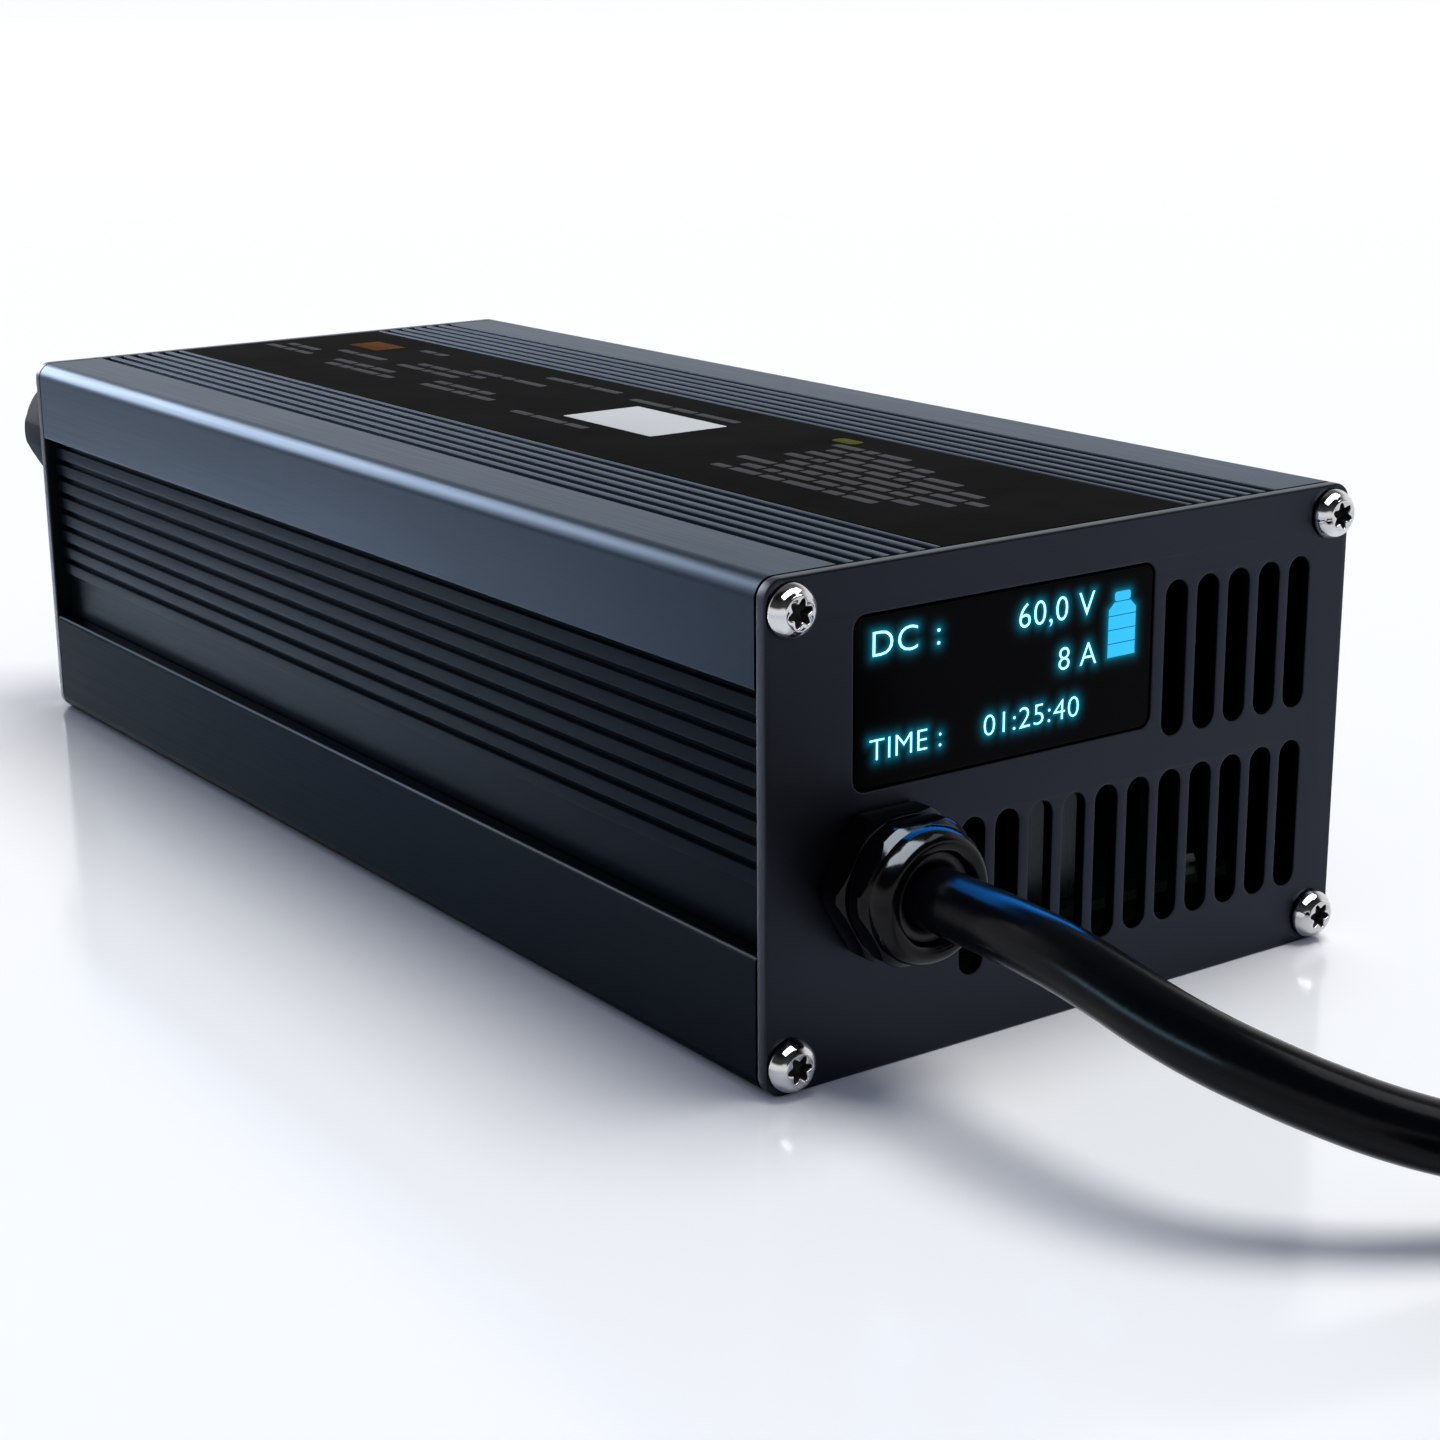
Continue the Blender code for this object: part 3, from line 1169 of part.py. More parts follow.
upper_shell()
lower_shell()
front_plate()
rear_plate()
end_screws()
display()
top_label()
front_gland()
rear_gland()
cord_tube("output_cord", free_route())
cord_coil()
cord_ties()
cord_tube("output_cord_tail", tail_route())
plug()
boards()
transformer()
toroid("line_choke", on_board(-1, CHOKE_PLACE, -1), CHOKE_RADIUS, CHOKE_TUBE, (0.45, 0.20, 0.08))
toroid("output_inductor", on_board(1, INDUCTOR_PLACE), INDUCTOR_RADIUS, INDUCTOR_TUBE, (0.50, 0.24, 0.09))
capacitors()
heat_sink("output_heat_sink", on_board(1, OUTPUT_SINK_PLACE), 1)
heat_sink("input_heat_sink", on_board(-1, INPUT_SINK_PLACE), -1)
power_device("rectifier", on_board(1, OUTPUT_SINK_PLACE), 1)
power_device("power_transistor", on_board(-1, INPUT_SINK_PLACE), -1)
small_parts()
fan_frame()
fan_rotor()
fan_screws()
shade()
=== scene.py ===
"""Electric scooter charger: its finished pieces and materials, its cord, the lights and the camera.

Metres, +Z up. X runs across the case, Y from the front plate to the rear plate. The origin lies on the floor, under
the middle of the case. A pair of numbers for a place on an end plate is X and Z.
"""

import json
import logging
import math
from dataclasses import dataclass, replace
from enum import Enum

import bmesh
import bpy
from mathutils import Matrix, Vector
from mathutils.bvhtree import BVHTree

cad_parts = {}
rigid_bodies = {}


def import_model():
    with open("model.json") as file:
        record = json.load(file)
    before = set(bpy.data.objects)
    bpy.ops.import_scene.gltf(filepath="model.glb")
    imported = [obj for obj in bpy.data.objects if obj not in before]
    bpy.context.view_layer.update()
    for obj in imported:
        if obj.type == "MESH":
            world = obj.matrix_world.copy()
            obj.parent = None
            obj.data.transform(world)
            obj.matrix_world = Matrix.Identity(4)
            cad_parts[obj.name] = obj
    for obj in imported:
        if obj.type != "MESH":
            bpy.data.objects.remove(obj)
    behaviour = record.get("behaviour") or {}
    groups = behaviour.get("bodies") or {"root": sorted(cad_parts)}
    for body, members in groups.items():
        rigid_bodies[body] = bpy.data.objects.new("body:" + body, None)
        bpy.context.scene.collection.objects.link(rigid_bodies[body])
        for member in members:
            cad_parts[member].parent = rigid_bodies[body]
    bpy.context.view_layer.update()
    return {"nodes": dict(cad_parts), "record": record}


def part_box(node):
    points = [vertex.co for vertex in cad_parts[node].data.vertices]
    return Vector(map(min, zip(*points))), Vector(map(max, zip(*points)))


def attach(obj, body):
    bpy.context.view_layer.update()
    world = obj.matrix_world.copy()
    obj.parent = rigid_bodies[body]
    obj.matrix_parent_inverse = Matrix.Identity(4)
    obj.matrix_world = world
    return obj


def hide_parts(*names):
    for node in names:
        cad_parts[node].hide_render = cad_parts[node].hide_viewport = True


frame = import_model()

Colour = tuple[float, float, float]
Point = tuple[float, float, float]
Flat = tuple[float, float]
Corner = tuple[float, float, float]

MM = 0.001
CLEARANCE = 0.3 * MM
CHARGER = "charger"
ROTOR = "rotor"
FRONT_FACE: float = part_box("front_plate")[0].y
REAR_FACE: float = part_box("rear_plate")[1].y
CASE_WIDTH = 109.0 * MM
CASE_HEIGHT = 72.0 * MM
CASE_CORNER = 3.0 * MM
PLATE_THICKNESS = 2.0 * MM
FRONT_GLAND = (-34.5 * MM, 28.0 * MM)
REAR_GLAND = (-38.1 * MM, 55.0 * MM)
FAN_AXIS = (22.0 * MM, 35.7 * MM)
WINDOW_LOW = (-39.85 * MM, 40.65 * MM)
WINDOW_HIGH = (14.75 * MM, 65.15 * MM)
NOISE_SPAN = (0.28, 0.72)
DUST_COLOUR = (0.42, 0.41, 0.40)
LOG = logging.getLogger("charger")


class Facing(Enum):
    """The way that the top of a turned piece points."""

    FRONT = math.pi / 2
    REAR = -math.pi / 2

    def matrix(self, place: Point, turn: float = 0.0) -> Matrix:
        """The placing of a piece that was made upright round the origin."""
        spin = Matrix.Rotation(turn, 4, "Z")
        return Matrix.Translation(place) @ Matrix.Rotation(self.value, 4, "X") @ spin


# ---------------------------------------------------------------- mesh tools


def linked(name: str, data: bpy.types.ID) -> bpy.types.Object:
    """Puts a new object into the scene.

    Args:
        name: Its name.
        data: Its mesh, curve, lamp or camera.

    Returns:
        The object.
    """
    piece = bpy.data.objects.new(name, data)
    bpy.context.scene.collection.objects.link(piece)
    return piece


def made_piece(name: str, shape: bmesh.types.BMesh, sharp: float = 32.0, weighted: bool = False) -> bpy.types.Object:
    """Turns a bmesh into an object at the origin and frees the bmesh.

    Args:
        name: The piece's name.
        shape: Its mesh, in place.
        sharp: The angle in degrees past which an edge stays sharp.
        weighted: Whether large faces lead the shading of the narrow ones beside them.

    Returns:
        The new object.
    """
    mesh = bpy.data.meshes.new(name)
    shape.to_mesh(mesh)
    shape.free()
    mesh.shade_smooth()
    mesh.set_sharp_from_angle(angle=math.radians(sharp))
    piece = linked(name, mesh)
    if weighted:
        piece.modifiers.new("Weighted", "WEIGHTED_NORMAL").keep_sharp = True
    return piece


def cleaned(shape: bmesh.types.BMesh) -> bmesh.types.BMesh:
    """Merges doubles and points the faces outwards.

    Args:
        shape: The mesh to clean.

    Returns:
        The same mesh.
    """
    bmesh.ops.remove_doubles(shape, verts=shape.verts, dist=0.002 * MM)
    bmesh.ops.recalc_face_normals(shape, faces=shape.faces)
    return shape


def moved(shape: bmesh.types.BMesh, matrix: Matrix) -> bmesh.types.BMesh:
    """Applies a placing to a mesh."""
    bmesh.ops.transform(shape, matrix=matrix, verts=shape.verts)
    return shape


def joined(shapes: list[bmesh.types.BMesh]) -> bmesh.types.BMesh:
    """Puts several meshes into the first one.

    Args:
        shapes: The meshes, of which all but the first are freed.

    Returns:
        The first mesh, which now holds them all.
    """
    first = shapes[0]
    for other in shapes[1:]:
        mesh = bpy.data.meshes.new("joined")
        other.to_mesh(mesh)
        other.free()
        first.from_mesh(mesh)
        bpy.data.meshes.remove(mesh)
    return first


def stepped(radius: float, height: float, corners: tuple[Corner, ...]) -> list[Corner]:
    """Corners of a profile, given in millimetres from a radius and a height."""
    return [(radius + r * MM, height + z * MM, soft * MM) for r, z, soft in corners]


def lathe(profile: list[Corner], sides: int, closed: bool = True) -> bmesh.types.BMesh:
    """Spins a profile about Z.

    Args:
        profile: Radius, height and rounding of each corner, in order.
        sides: How many steps the full turn has.
        closed: Whether the profile's last corner joins its first.

    Returns:
        The turned mesh.
    """
    shape = bmesh.new()
    corners = [shape.verts.new((radius, 0.0, height)) for radius, height, _ in profile]
    for first, second in zip(corners, corners[1:]):
        shape.edges.new((first, second))
    if closed:
        shape.edges.new((corners[-1], corners[0]))
    round_corners(shape, corners, [corner[2] for corner in profile])
    bmesh.ops.spin(
        shape, geom=list(shape.verts) + list(shape.edges), cent=(0.0, 0.0, 0.0), axis=(0.0, 0.0, 1.0),
        dvec=(0.0, 0.0, 0.0), angle=2 * math.pi, steps=sides, use_merge=True,
    )
    return cleaned(shape)


def softened(shape: bmesh.types.BMesh, parts: list, soft: float, segments: int, affect: str = "EDGES") -> None:
    """Bevels edges or corners.

    Args:
        shape: The mesh that holds them.
        parts: The edges or the corners.
        soft: The width of the bevel.
        segments: How many pieces it has.
        affect: EDGES or VERTICES.
    """
    bmesh.ops.bevel(
        shape, geom=parts, offset=soft, offset_type="OFFSET", segments=segments, profile=0.5, affect=affect,
        material=-1, clamp_overlap=True,
    )


def round_corners(shape: bmesh.types.BMesh, corners: list[bmesh.types.BMVert], radii: list[float]) -> None:
    """Rounds the corners of an outline.

    Args:
        shape: The mesh that holds the outline.
        corners: Its corners.
        radii: The rounding of each; zero leaves a corner sharp.
    """
    for radius in sorted(set(radii)):
        if radius > 0.0:
            chosen = [corner for corner, own in zip(corners, radii) if own == radius]
            softened(shape, chosen, radius, 8 if radius > 1.0 * MM else 3 if radius > 0.3 * MM else 2, "VERTICES")


def cut_flats(shape: bmesh.types.BMesh, width: float, soft: float) -> None:
    """Cuts six flats into a turned piece, two of them facing its local Y, and softens their edges.

    Args:
        shape: The turned mesh.
        width: The width across the flats.
        soft: The bevel of the new edges.
    """
    edges: list[bmesh.types.BMEdge] = []
    for step in range(6):
        angle = math.radians(30.0 + 60.0 * step)
        normal = Vector((math.cos(angle), math.sin(angle), 0.0))
        cut = bmesh.ops.bisect_plane(
            shape, geom=list(shape.verts) + list(shape.edges) + list(shape.faces), dist=0.0001 * MM,
            plane_co=normal * width / 2, plane_no=normal, clear_outer=True,
        )
        rim = [part for part in cut["geom_cut"] if isinstance(part, bmesh.types.BMEdge)]
        bmesh.ops.edgeloop_fill(shape, edges=rim)
        edges += rim
    edges = [edge for edge in edges if edge.is_valid and edge.calc_length() > 0.02 * MM]
    softened(shape, edges, soft, 2)


def ring(shape: bmesh.types.BMesh, sides: int, radius: float, height: float, lobes: int, swell: float) -> list:
    """Adds one ring of edges round Z.

    Args:
        shape: The mesh that takes it.
        sides: How many edges it has.
        radius: Its mean radius.
        height: Its Z.
        lobes: How many lobes its outline has.
        swell: How far the lobes depart from the mean radius.

    Returns:
        Its edges.
    """
    made = bmesh.ops.create_circle(shape, cap_ends=False, radius=radius, segments=sides)["verts"]
    for vert in made:
        angle = math.atan2(vert.co.y, vert.co.x)
        reach = radius + swell * math.cos(lobes * angle)
        vert.co = (reach * math.cos(angle), reach * math.sin(angle), height)
    return list(dict.fromkeys(edge for vert in made for edge in vert.link_edges))


def lofted(rings: list[tuple[float, float, int, float]], sides: int) -> bmesh.types.BMesh:
    """Bridges a row of rings and closes both ends.

    Args:
        rings: Radius, height, lobes and swell of each ring.
        sides: How many edges each ring has.

    Returns:
        The closed mesh.
    """
    shape = bmesh.new()
    loops = [ring(shape, sides, *values) for values in rings]
    for first, second in zip(loops, loops[1:]):
        bmesh.ops.bridge_loops(shape, edges=first + second)
    bmesh.ops.edgeloop_fill(shape, edges=loops[0])
    bmesh.ops.edgeloop_fill(shape, edges=loops[-1])
    return cleaned(shape)


def arc(centre: Flat, radius: float, start: float, end: float, steps: int) -> list[Flat]:
    """Points along an arc.

    Args:
        centre: Its middle.
        radius: Its radius.
        start: Its first angle in degrees.
        end: Its last angle in degrees.
        steps: How many pieces it has.

    Returns:
        One point more than it has pieces.
    """
    points = []
    for step in range(steps + 1):
        angle = math.radians(start + (end - start) * step / steps)
        points.append((centre[0] + radius * math.cos(angle), centre[1] + radius * math.sin(angle)))
    return points


def circle(centre: Flat, radius: float, sides: int) -> list[Flat]:
    """Points round a whole circle."""
    return arc(centre, radius, 0.0, 360.0, sides)[:-1]


def rounded_rectangle(centre: Flat, width: float, height: float, radius: float, steps: int = 8) -> list[Flat]:
    """Outline of a rectangle with round corners.

    Args:
        centre: Its middle.
        width: Its width.
        height: Its height.
        radius: The radius of its corners.
        steps: How many pieces each corner has.

    Returns:
        Its points in order.
    """
    points: list[Flat] = []
    for turn, (side, rise) in enumerate(((1, 1), (-1, 1), (-1, -1), (1, -1))):
        corner = (centre[0] + side * (width / 2 - radius), centre[1] + rise * (height / 2 - radius))
        points += arc(corner, radius, 90.0 * turn, 90.0 * (turn + 1), steps)
    return points


def middle_of(low: Flat, high: Flat) -> Flat:
    """The middle between two places."""
    return ((low[0] + high[0]) / 2, (low[1] + high[1]) / 2)


def held(value: float) -> float:
    """A value held between 0 and 1."""
    return min(max(value, 0.0), 1.0)


def slot_outline(centre: Flat, width: float, length: float, steps: int = 14) -> list[Flat]:
    """Outline of an upright slot with round ends.

    Args:
        centre: Its middle.
        width: Its width.
        length: Its length over both ends.
        steps: How many pieces each end has.

    Returns:
        Its points in order.
    """
    reach = length / 2 - width / 2
    top = arc((centre[0], centre[1] + reach), width / 2, 0.0, 180.0, steps)
    return top + arc((centre[0], centre[1] - reach), width / 2, 180.0, 360.0, steps)


def sheet(outlines: list[list[Flat]], thickness: float, soft: float) -> bmesh.types.BMesh:
    """A flat sheet with holes and softened edges, made from a curve; its thickness lies along Z, about zero.

    Args:
        outlines: Its edge and then its holes.
        thickness: Its full thickness.
        soft: The bevel of its edges.

    Returns:
        Its mesh.
    """
    curve = bpy.data.curves.new("sheet", "CURVE")
    curve.dimensions = "2D"
    curve.fill_mode = "BOTH"
    curve.extrude = thickness / 2 - soft
    curve.bevel_depth = soft
    curve.bevel_resolution = 1
    curve.offset = -soft
    for outline in outlines:
        spline = curve.splines.new("POLY")
        spline.points.add(len(outline) - 1)
        for point, (x, y) in zip(spline.points, outline):
            point.co = (x, y, 0.0, 1.0)
        spline.use_cyclic_u = True
    return from_curve(curve)


def from_curve(curve: bpy.types.Curve) -> bmesh.types.BMesh:
    """Makes a mesh of a curve or text and removes the curve.

    Args:
        curve: The curve or text.

    Returns:
        Its cleaned mesh.
    """
    holder = linked("holder", curve)
    bpy.context.view_layer.update()
    mesh = bpy.data.meshes.new_from_object(holder.evaluated_get(bpy.context.evaluated_depsgraph_get()))
    shape = bmesh.new()
    shape.from_mesh(mesh)
    bpy.data.objects.remove(holder, do_unlink=True)
    bpy.data.curves.remove(curve)
    bpy.data.meshes.remove(mesh)
    return cleaned(shape)


def box_shape(size: Point, place: Point, soft: float, segments: int = 2) -> bmesh.types.BMesh:
    """A block with softened edges.

    Args:
        size: Its size along X, Y and Z.
        place: Its middle.
        soft: The bevel of its edges.
        segments: How many pieces the bevel has.

    Returns:
        Its mesh.
    """
    shape = bmesh.new()
    bmesh.ops.create_cube(shape, size=1.0)
    bmesh.ops.scale(shape, vec=size, verts=shape.verts)
    softened(shape, list(shape.edges), soft, segments)
    bmesh.ops.translate(shape, vec=place, verts=shape.verts)
    return cleaned(shape)


# ---------------------------------------------------------------- shader effects


class Nodes:
    """Adds and links the nodes of one tree."""

    def __init__(self, tree: bpy.types.NodeTree) -> None:
        """Keeps the tree that takes the nodes."""
        self.tree = tree

    def add(self, kind: str, inputs: dict | None = None, **settings: object) -> bpy.types.Node:
        """Adds a node, sets it and links its inputs.

        Args:
            kind: Blender's name of the node.
            inputs: Values or sockets, by the name or number of the input that takes them.
            **settings: The node's own settings.

        Returns:
            The new node.
        """
        node = self.tree.nodes.new(kind)
        for key, value in settings.items():
            setattr(node, key, value)
        for key, value in (inputs or {}).items():
            if isinstance(value, bpy.types.NodeSocket):
                self.tree.links.new(value, node.inputs[key])
            else:
                node.inputs[key].default_value = value
        return node

    def math(self, operation: str, first: object, second: object = 0.0) -> bpy.types.NodeSocket:
        """Adds a Math node."""
        return self.add("ShaderNodeMath", {0: first, 1: second}, operation=operation).outputs[0]

    def blend(self, share: object, first: object, second: object) -> bpy.types.NodeSocket:
        """Mixes two colours.

        Args:
            share: How much of the second colour shows.
            first: The first colour or its socket.
            second: The second colour or its socket.

        Returns:
            The mixed colour.
        """
        colours = [(*c, 1.0) if isinstance(c, tuple) else c for c in (first, second)]
        node = self.add("ShaderNodeMix", {0: share, 6: colours[0], 7: colours[1]}, data_type="RGBA")
        return node.outputs[2]


class Effect(Enum):
    """The shared shader node groups."""

    GRAIN = "fine_grain"
    DRIFT = "tone_drift"
    BRUSHING = "brushing"
    DUST = "dust"
    WINDING = "winding"

    def tree(self) -> bpy.types.NodeTree:
        """The group itself, built the first time that it is asked for.

        Returns:
            The group's tree.
        """
        found = bpy.data.node_groups.get(self.value)
        return found or {
            Effect.GRAIN: grain_group,
            Effect.DRIFT: drift_group,
            Effect.BRUSHING: brushing_group,
            Effect.DUST: dust_group,
            Effect.WINDING: winding_group,
        }[self](self.value)


def new_group(name: str, inputs: dict[str, tuple[str, object]], outputs: dict[str, str]) -> tuple:
    """Starts a shader node group.

    Args:
        name: Its name.
        inputs: The kind and the default value of each input.
        outputs: The kind of each output.

    Returns:
        Its nodes' helper and its input node.
    """
    tree = bpy.data.node_groups.new(name, "ShaderNodeTree")
    for key, (kind, value) in inputs.items():
        socket = tree.interface.new_socket(key, in_out="INPUT", socket_type="NodeSocket" + kind)
        if value is not None:
            socket.default_value = value
    for key, kind in outputs.items():
        tree.interface.new_socket(key, in_out="OUTPUT", socket_type="NodeSocket" + kind)
    nodes = Nodes(tree)
    return nodes, nodes.add("NodeGroupInput")


def spread_value(nodes: Nodes, value: bpy.types.NodeSocket, low: object, high: object) -> bpy.types.NodeSocket:
    """Spreads the middle of a noise's range over a wanted range."""
    inputs = {"Value": value, "From Min": NOISE_SPAN[0], "From Max": NOISE_SPAN[1], "To Min": low, "To Max": high}
    return nodes.add("ShaderNodeMapRange", inputs).outputs["Result"]


def grain_group(name: str) -> bpy.types.NodeTree:
    """A fine even grain for roughness and bump.

    Args:
        name: The group's name.

    Returns:
        The group.
    """
    inputs = {"Vector": ("Vector", None), "Scale": ("Float", 3000.0), "Low": ("Float", 0.3), "High": ("Float", 0.4)}
    nodes, source = new_group(name, inputs, {"Value": "Float", "Height": "Float"})
    slots = {"Vector": source.outputs["Vector"], "Scale": source.outputs["Scale"], "Detail": 2.0}
    noise = nodes.add("ShaderNodeTexNoise", slots)
    smears = nodes.math("MULTIPLY", source.outputs["Scale"], 0.02)
    broad = nodes.add("ShaderNodeTexNoise", {"Vector": source.outputs["Vector"], "Scale": smears, "Detail": 3.0})
    both = nodes.math("MULTIPLY", nodes.math("ADD", noise.outputs[0], broad.outputs[0]), 0.5)
    value = spread_value(nodes, both, source.outputs["Low"], source.outputs["High"])
    nodes.add("NodeGroupOutput", {"Value": value, "Height": noise.outputs[0]})
    return nodes.tree


def drift_group(name: str) -> bpy.types.NodeTree:
    """A slow drift between two tones.

    Args:
        name: The group's name.

    Returns:
        The group.
    """
    tone = ("Color", (0.5, 0.5, 0.5, 1.0))
    inputs = {"Vector": ("Vector", None), "Scale": ("Float", 20.0), "First": tone, "Second": tone}
    nodes, source = new_group(name, inputs, {"Color": "Color"})
    slots = {"Vector": source.outputs["Vector"], "Scale": source.outputs["Scale"], "Detail": 4.0}
    noise = nodes.add("ShaderNodeTexNoise", slots)
    share = spread_value(nodes, noise.outputs[0], 0.0, 1.0)
    nodes.add("NodeGroupOutput", {"Color": nodes.blend(share, source.outputs["First"], source.outputs["Second"])})
    return nodes.tree


def brushing_group(name: str) -> bpy.types.NodeTree:
    """Fine lines that an extrusion die or a brush leaves along one direction.

    Args:
        name: The group's name.

    Returns:
        The group.
    """
    inputs = {"Vector": ("Vector", None), "Along": ("Vector", (1.0, 0.01, 1.0)), "Scale": ("Float", 2500.0)}
    inputs |= {"Low": ("Float", 0.3), "High": ("Float", 0.4)}
    nodes, source = new_group(name, inputs, {"Value": "Float", "Height": "Float"})
    slots = {0: source.outputs["Vector"], 1: source.outputs["Along"]}
    drawn = nodes.add("ShaderNodeVectorMath", slots, operation="MULTIPLY")
    slots = {"Vector": drawn.outputs[0], "Scale": source.outputs["Scale"], "Detail": 3.0}
    noise = nodes.add("ShaderNodeTexNoise", slots)
    value = spread_value(nodes, noise.outputs[0], source.outputs["Low"], source.outputs["High"])
    nodes.add("NodeGroupOutput", {"Value": value, "Height": noise.outputs[0]})
    return nodes.tree


def dust_group(name: str) -> bpy.types.NodeTree:
    """A thin film of dust in patches, on faces that look up.

    Args:
        name: The group's name.

    Returns:
        The group.
    """
    inputs = {"Vector": ("Vector", None), "Scale": ("Float", 60.0), "Amount": ("Float", 0.1)}
    nodes, source = new_group(name, inputs, {"Mask": "Float"})
    normal = nodes.add("ShaderNodeNewGeometry").outputs["Normal"]
    upward = nodes.math("MAXIMUM", nodes.add("ShaderNodeSeparateXYZ", {0: normal}).outputs["Z"], 0.0)
    slots = {"Vector": source.outputs["Vector"], "Scale": source.outputs["Scale"], "Detail": 6.0, "Roughness": 0.7}
    patches = spread_value(nodes, nodes.add("ShaderNodeTexNoise", slots).outputs[0], 0.0, 1.0)
    lying = nodes.math("MULTIPLY", patches, upward)
    nodes.add("NodeGroupOutput", {"Mask": nodes.math("MULTIPLY", lying, source.outputs["Amount"])})
    return nodes.tree


def winding_group(name: str) -> bpy.types.NodeTree:
    """Turns of wire or layers of tape, as lines across one direction.

    Args:
        name: The group's name.

    Returns:
        The group.
    """
    inputs = {"Vector": ("Vector", None), "Scale": ("Float", 300.0)}
    nodes, source = new_group(name, inputs, {"Mask": "Float", "Height": "Float"})
    slots = {"Vector": source.outputs["Vector"], "Scale": source.outputs["Scale"], "Distortion": 0.4, "Detail": 1.0}
    wave = nodes.add("ShaderNodeTexWave", slots, wave_type="BANDS", bands_direction="Z", wave_profile="SIN")
    height = wave.outputs["Fac"]
    # Mask: low in the troughs, where the painted shade goes
    nodes.add("NodeGroupOutput", {"Mask": nodes.math("POWER", height, 0.6), "Height": height})
    return nodes.tree


@dataclass(frozen=True)
class Finish:
    """A surface finish: two close tones, a grain and its shader's plain values.

    Where the piece's own attribute for painted shade is set, the dark tone shows there as painted shade and fade takes
    from the metal.
    """

    name: str
    slot: str
    colour: Colour
    second: Colour
    roughness: Flat = (0.35, 0.42)
    metallic: float = 0.0
    drift: float = 25.0
    grain: float = 3000.0
    bump: float = 0.02 * MM
    specular: float = 0.5
    dust: float = 0.0
    rim: Colour = (1.0, 1.0, 1.0)
    # painted shade: the mask that marks it, its dark colour and how much it takes from the metal
    painted_shade_mask: str = ""
    dark: Colour = (0.004, 0.004, 0.004)
    fade: float = 0.0

    def material(self) -> bpy.types.Material:
        """The finish's material, made the first time that it is asked for."""
        title = "finish_" + self.name
        return bpy.data.materials.get(title) or self.mixed(bpy.data.materials.new(title))

    def mixed(self, material: bpy.types.Material) -> bpy.types.Material:
        """Builds the material's nodes.

        Args:
            material: The new material.

        Returns:
            The same material.
        """
        material.use_nodes = True
        nodes = Nodes(material.node_tree)
        shader = material.node_tree.nodes["Principled BSDF"]
        shader.inputs["Metallic"].default_value = self.metallic
        shader.inputs["Specular IOR Level"].default_value = self.specular
        shader.inputs["Specular Tint"].default_value = (*self.rim, 1.0)
        place = nodes.add("ShaderNodeTexCoord").outputs["Object"]
        colour = self.toned(nodes, place)
        value, height = self.textured(nodes, place)
        if self.dust > 0.0:
            mask = self.effect(nodes, Effect.DUST, Vector=place, Amount=self.dust).outputs["Mask"]
            colour = nodes.blend(mask, colour, DUST_COLOUR)
            value = nodes.math("ADD", value, mask)
        bump = nodes.add("ShaderNodeBump", {"Height": height, "Strength": 1.0, "Distance": self.bump}).outputs[0]
        sockets = {"Base Color": colour, "Roughness": value, "Normal": bump}
        # painted shade takes the metal away where it is marked
        if self.fade > 0.0:
            sockets["Metallic"] = nodes.math("SUBTRACT", 1.0, nodes.math("MULTIPLY", self.masked(nodes), self.fade))
        for key, socket in sockets.items():
            nodes.tree.links.new(socket, shader.inputs[key])
        self.extra(nodes, shader)
        return material

    def effect(self, nodes: Nodes, effect: Effect, **inputs: object) -> bpy.types.Node:
        """Places one of the shared groups, with its own values."""
        return nodes.add("ShaderNodeGroup", inputs, node_tree=effect.tree())

    def toned(self, nodes: Nodes, place: bpy.types.NodeSocket) -> bpy.types.NodeSocket:
        """The colour over the surface.

        Args:
            nodes: The material's nodes.
            place: The coordinates.

        Returns:
            The colour's socket.
        """
        tones = {"First": (*self.colour, 1.0), "Second": (*self.second, 1.0)}
        colour = self.effect(nodes, Effect.DRIFT, Vector=place, Scale=self.drift, **tones).outputs["Color"]
        # painted shade: the dark colour over the marked places
        return nodes.blend(self.masked(nodes), colour, self.dark) if self.painted_shade_mask else colour

    def masked(self, nodes: Nodes) -> bpy.types.NodeSocket:
        """The piece's own attribute that marks where shade is painted."""
        return nodes.add("ShaderNodeAttribute", attribute_name=self.painted_shade_mask).outputs["Fac"]

    def textured(self, nodes: Nodes, place: bpy.types.NodeSocket) -> tuple:
        """The roughness and the height over the surface.

        Args:
            nodes: The material's nodes.
            place: The coordinates.

        Returns:
            The two sockets.
        """
        low, high = self.roughness
        grain = self.effect(nodes, Effect.GRAIN, Vector=place, Scale=self.grain, Low=low, High=high)
        return grain.outputs["Value"], grain.outputs["Height"]

    def extra(self, nodes: Nodes, shader: bpy.types.Node) -> None:
        """What a finish of its own kind adds."""


@dataclass(frozen=True)
class DrawnFinish(Finish):
    """A metal with fine lines along the way it was drawn or brushed."""

    along: Point = (1.0, 0.01, 1.0)
    lines: float = 2500.0

    def textured(self, nodes: Nodes, place: bpy.types.NodeSocket) -> tuple:
        """The roughness and the height over the surface.

        Args:
            nodes: The material's nodes.
            place: The coordinates.

        Returns:
            The two sockets.
        """
        low, high = self.roughness
        values = {"Along": self.along, "Scale": self.lines, "Low": low, "High": high}
        drawn = self.effect(nodes, Effect.BRUSHING, Vector=place, **values)
        grain = self.effect(nodes, Effect.GRAIN, Vector=place, Scale=self.grain, Low=0.0, High=1.0)
        height = nodes.math("ADD", drawn.outputs["Height"], nodes.math("MULTIPLY", grain.outputs["Height"], 0.4))
        return drawn.outputs["Value"], height


@dataclass(frozen=True)
class RecessShadeFinish(Finish):
    """A polished metal with painted shade where the piece's own attribute marks a recess: dark, less metal and duller
    there.
    """

    painted_shade_mask: str = "recess"
    fade: float = 1.0

    def textured(self, nodes: Nodes, place: bpy.types.NodeSocket) -> tuple:
        """The roughness and the height over the surface, rougher in the recess."""
        value, height = Finish.textured(self, nodes, place)
        return nodes.math("ADD", value, nodes.math("MULTIPLY", self.masked(nodes), 0.5)), height


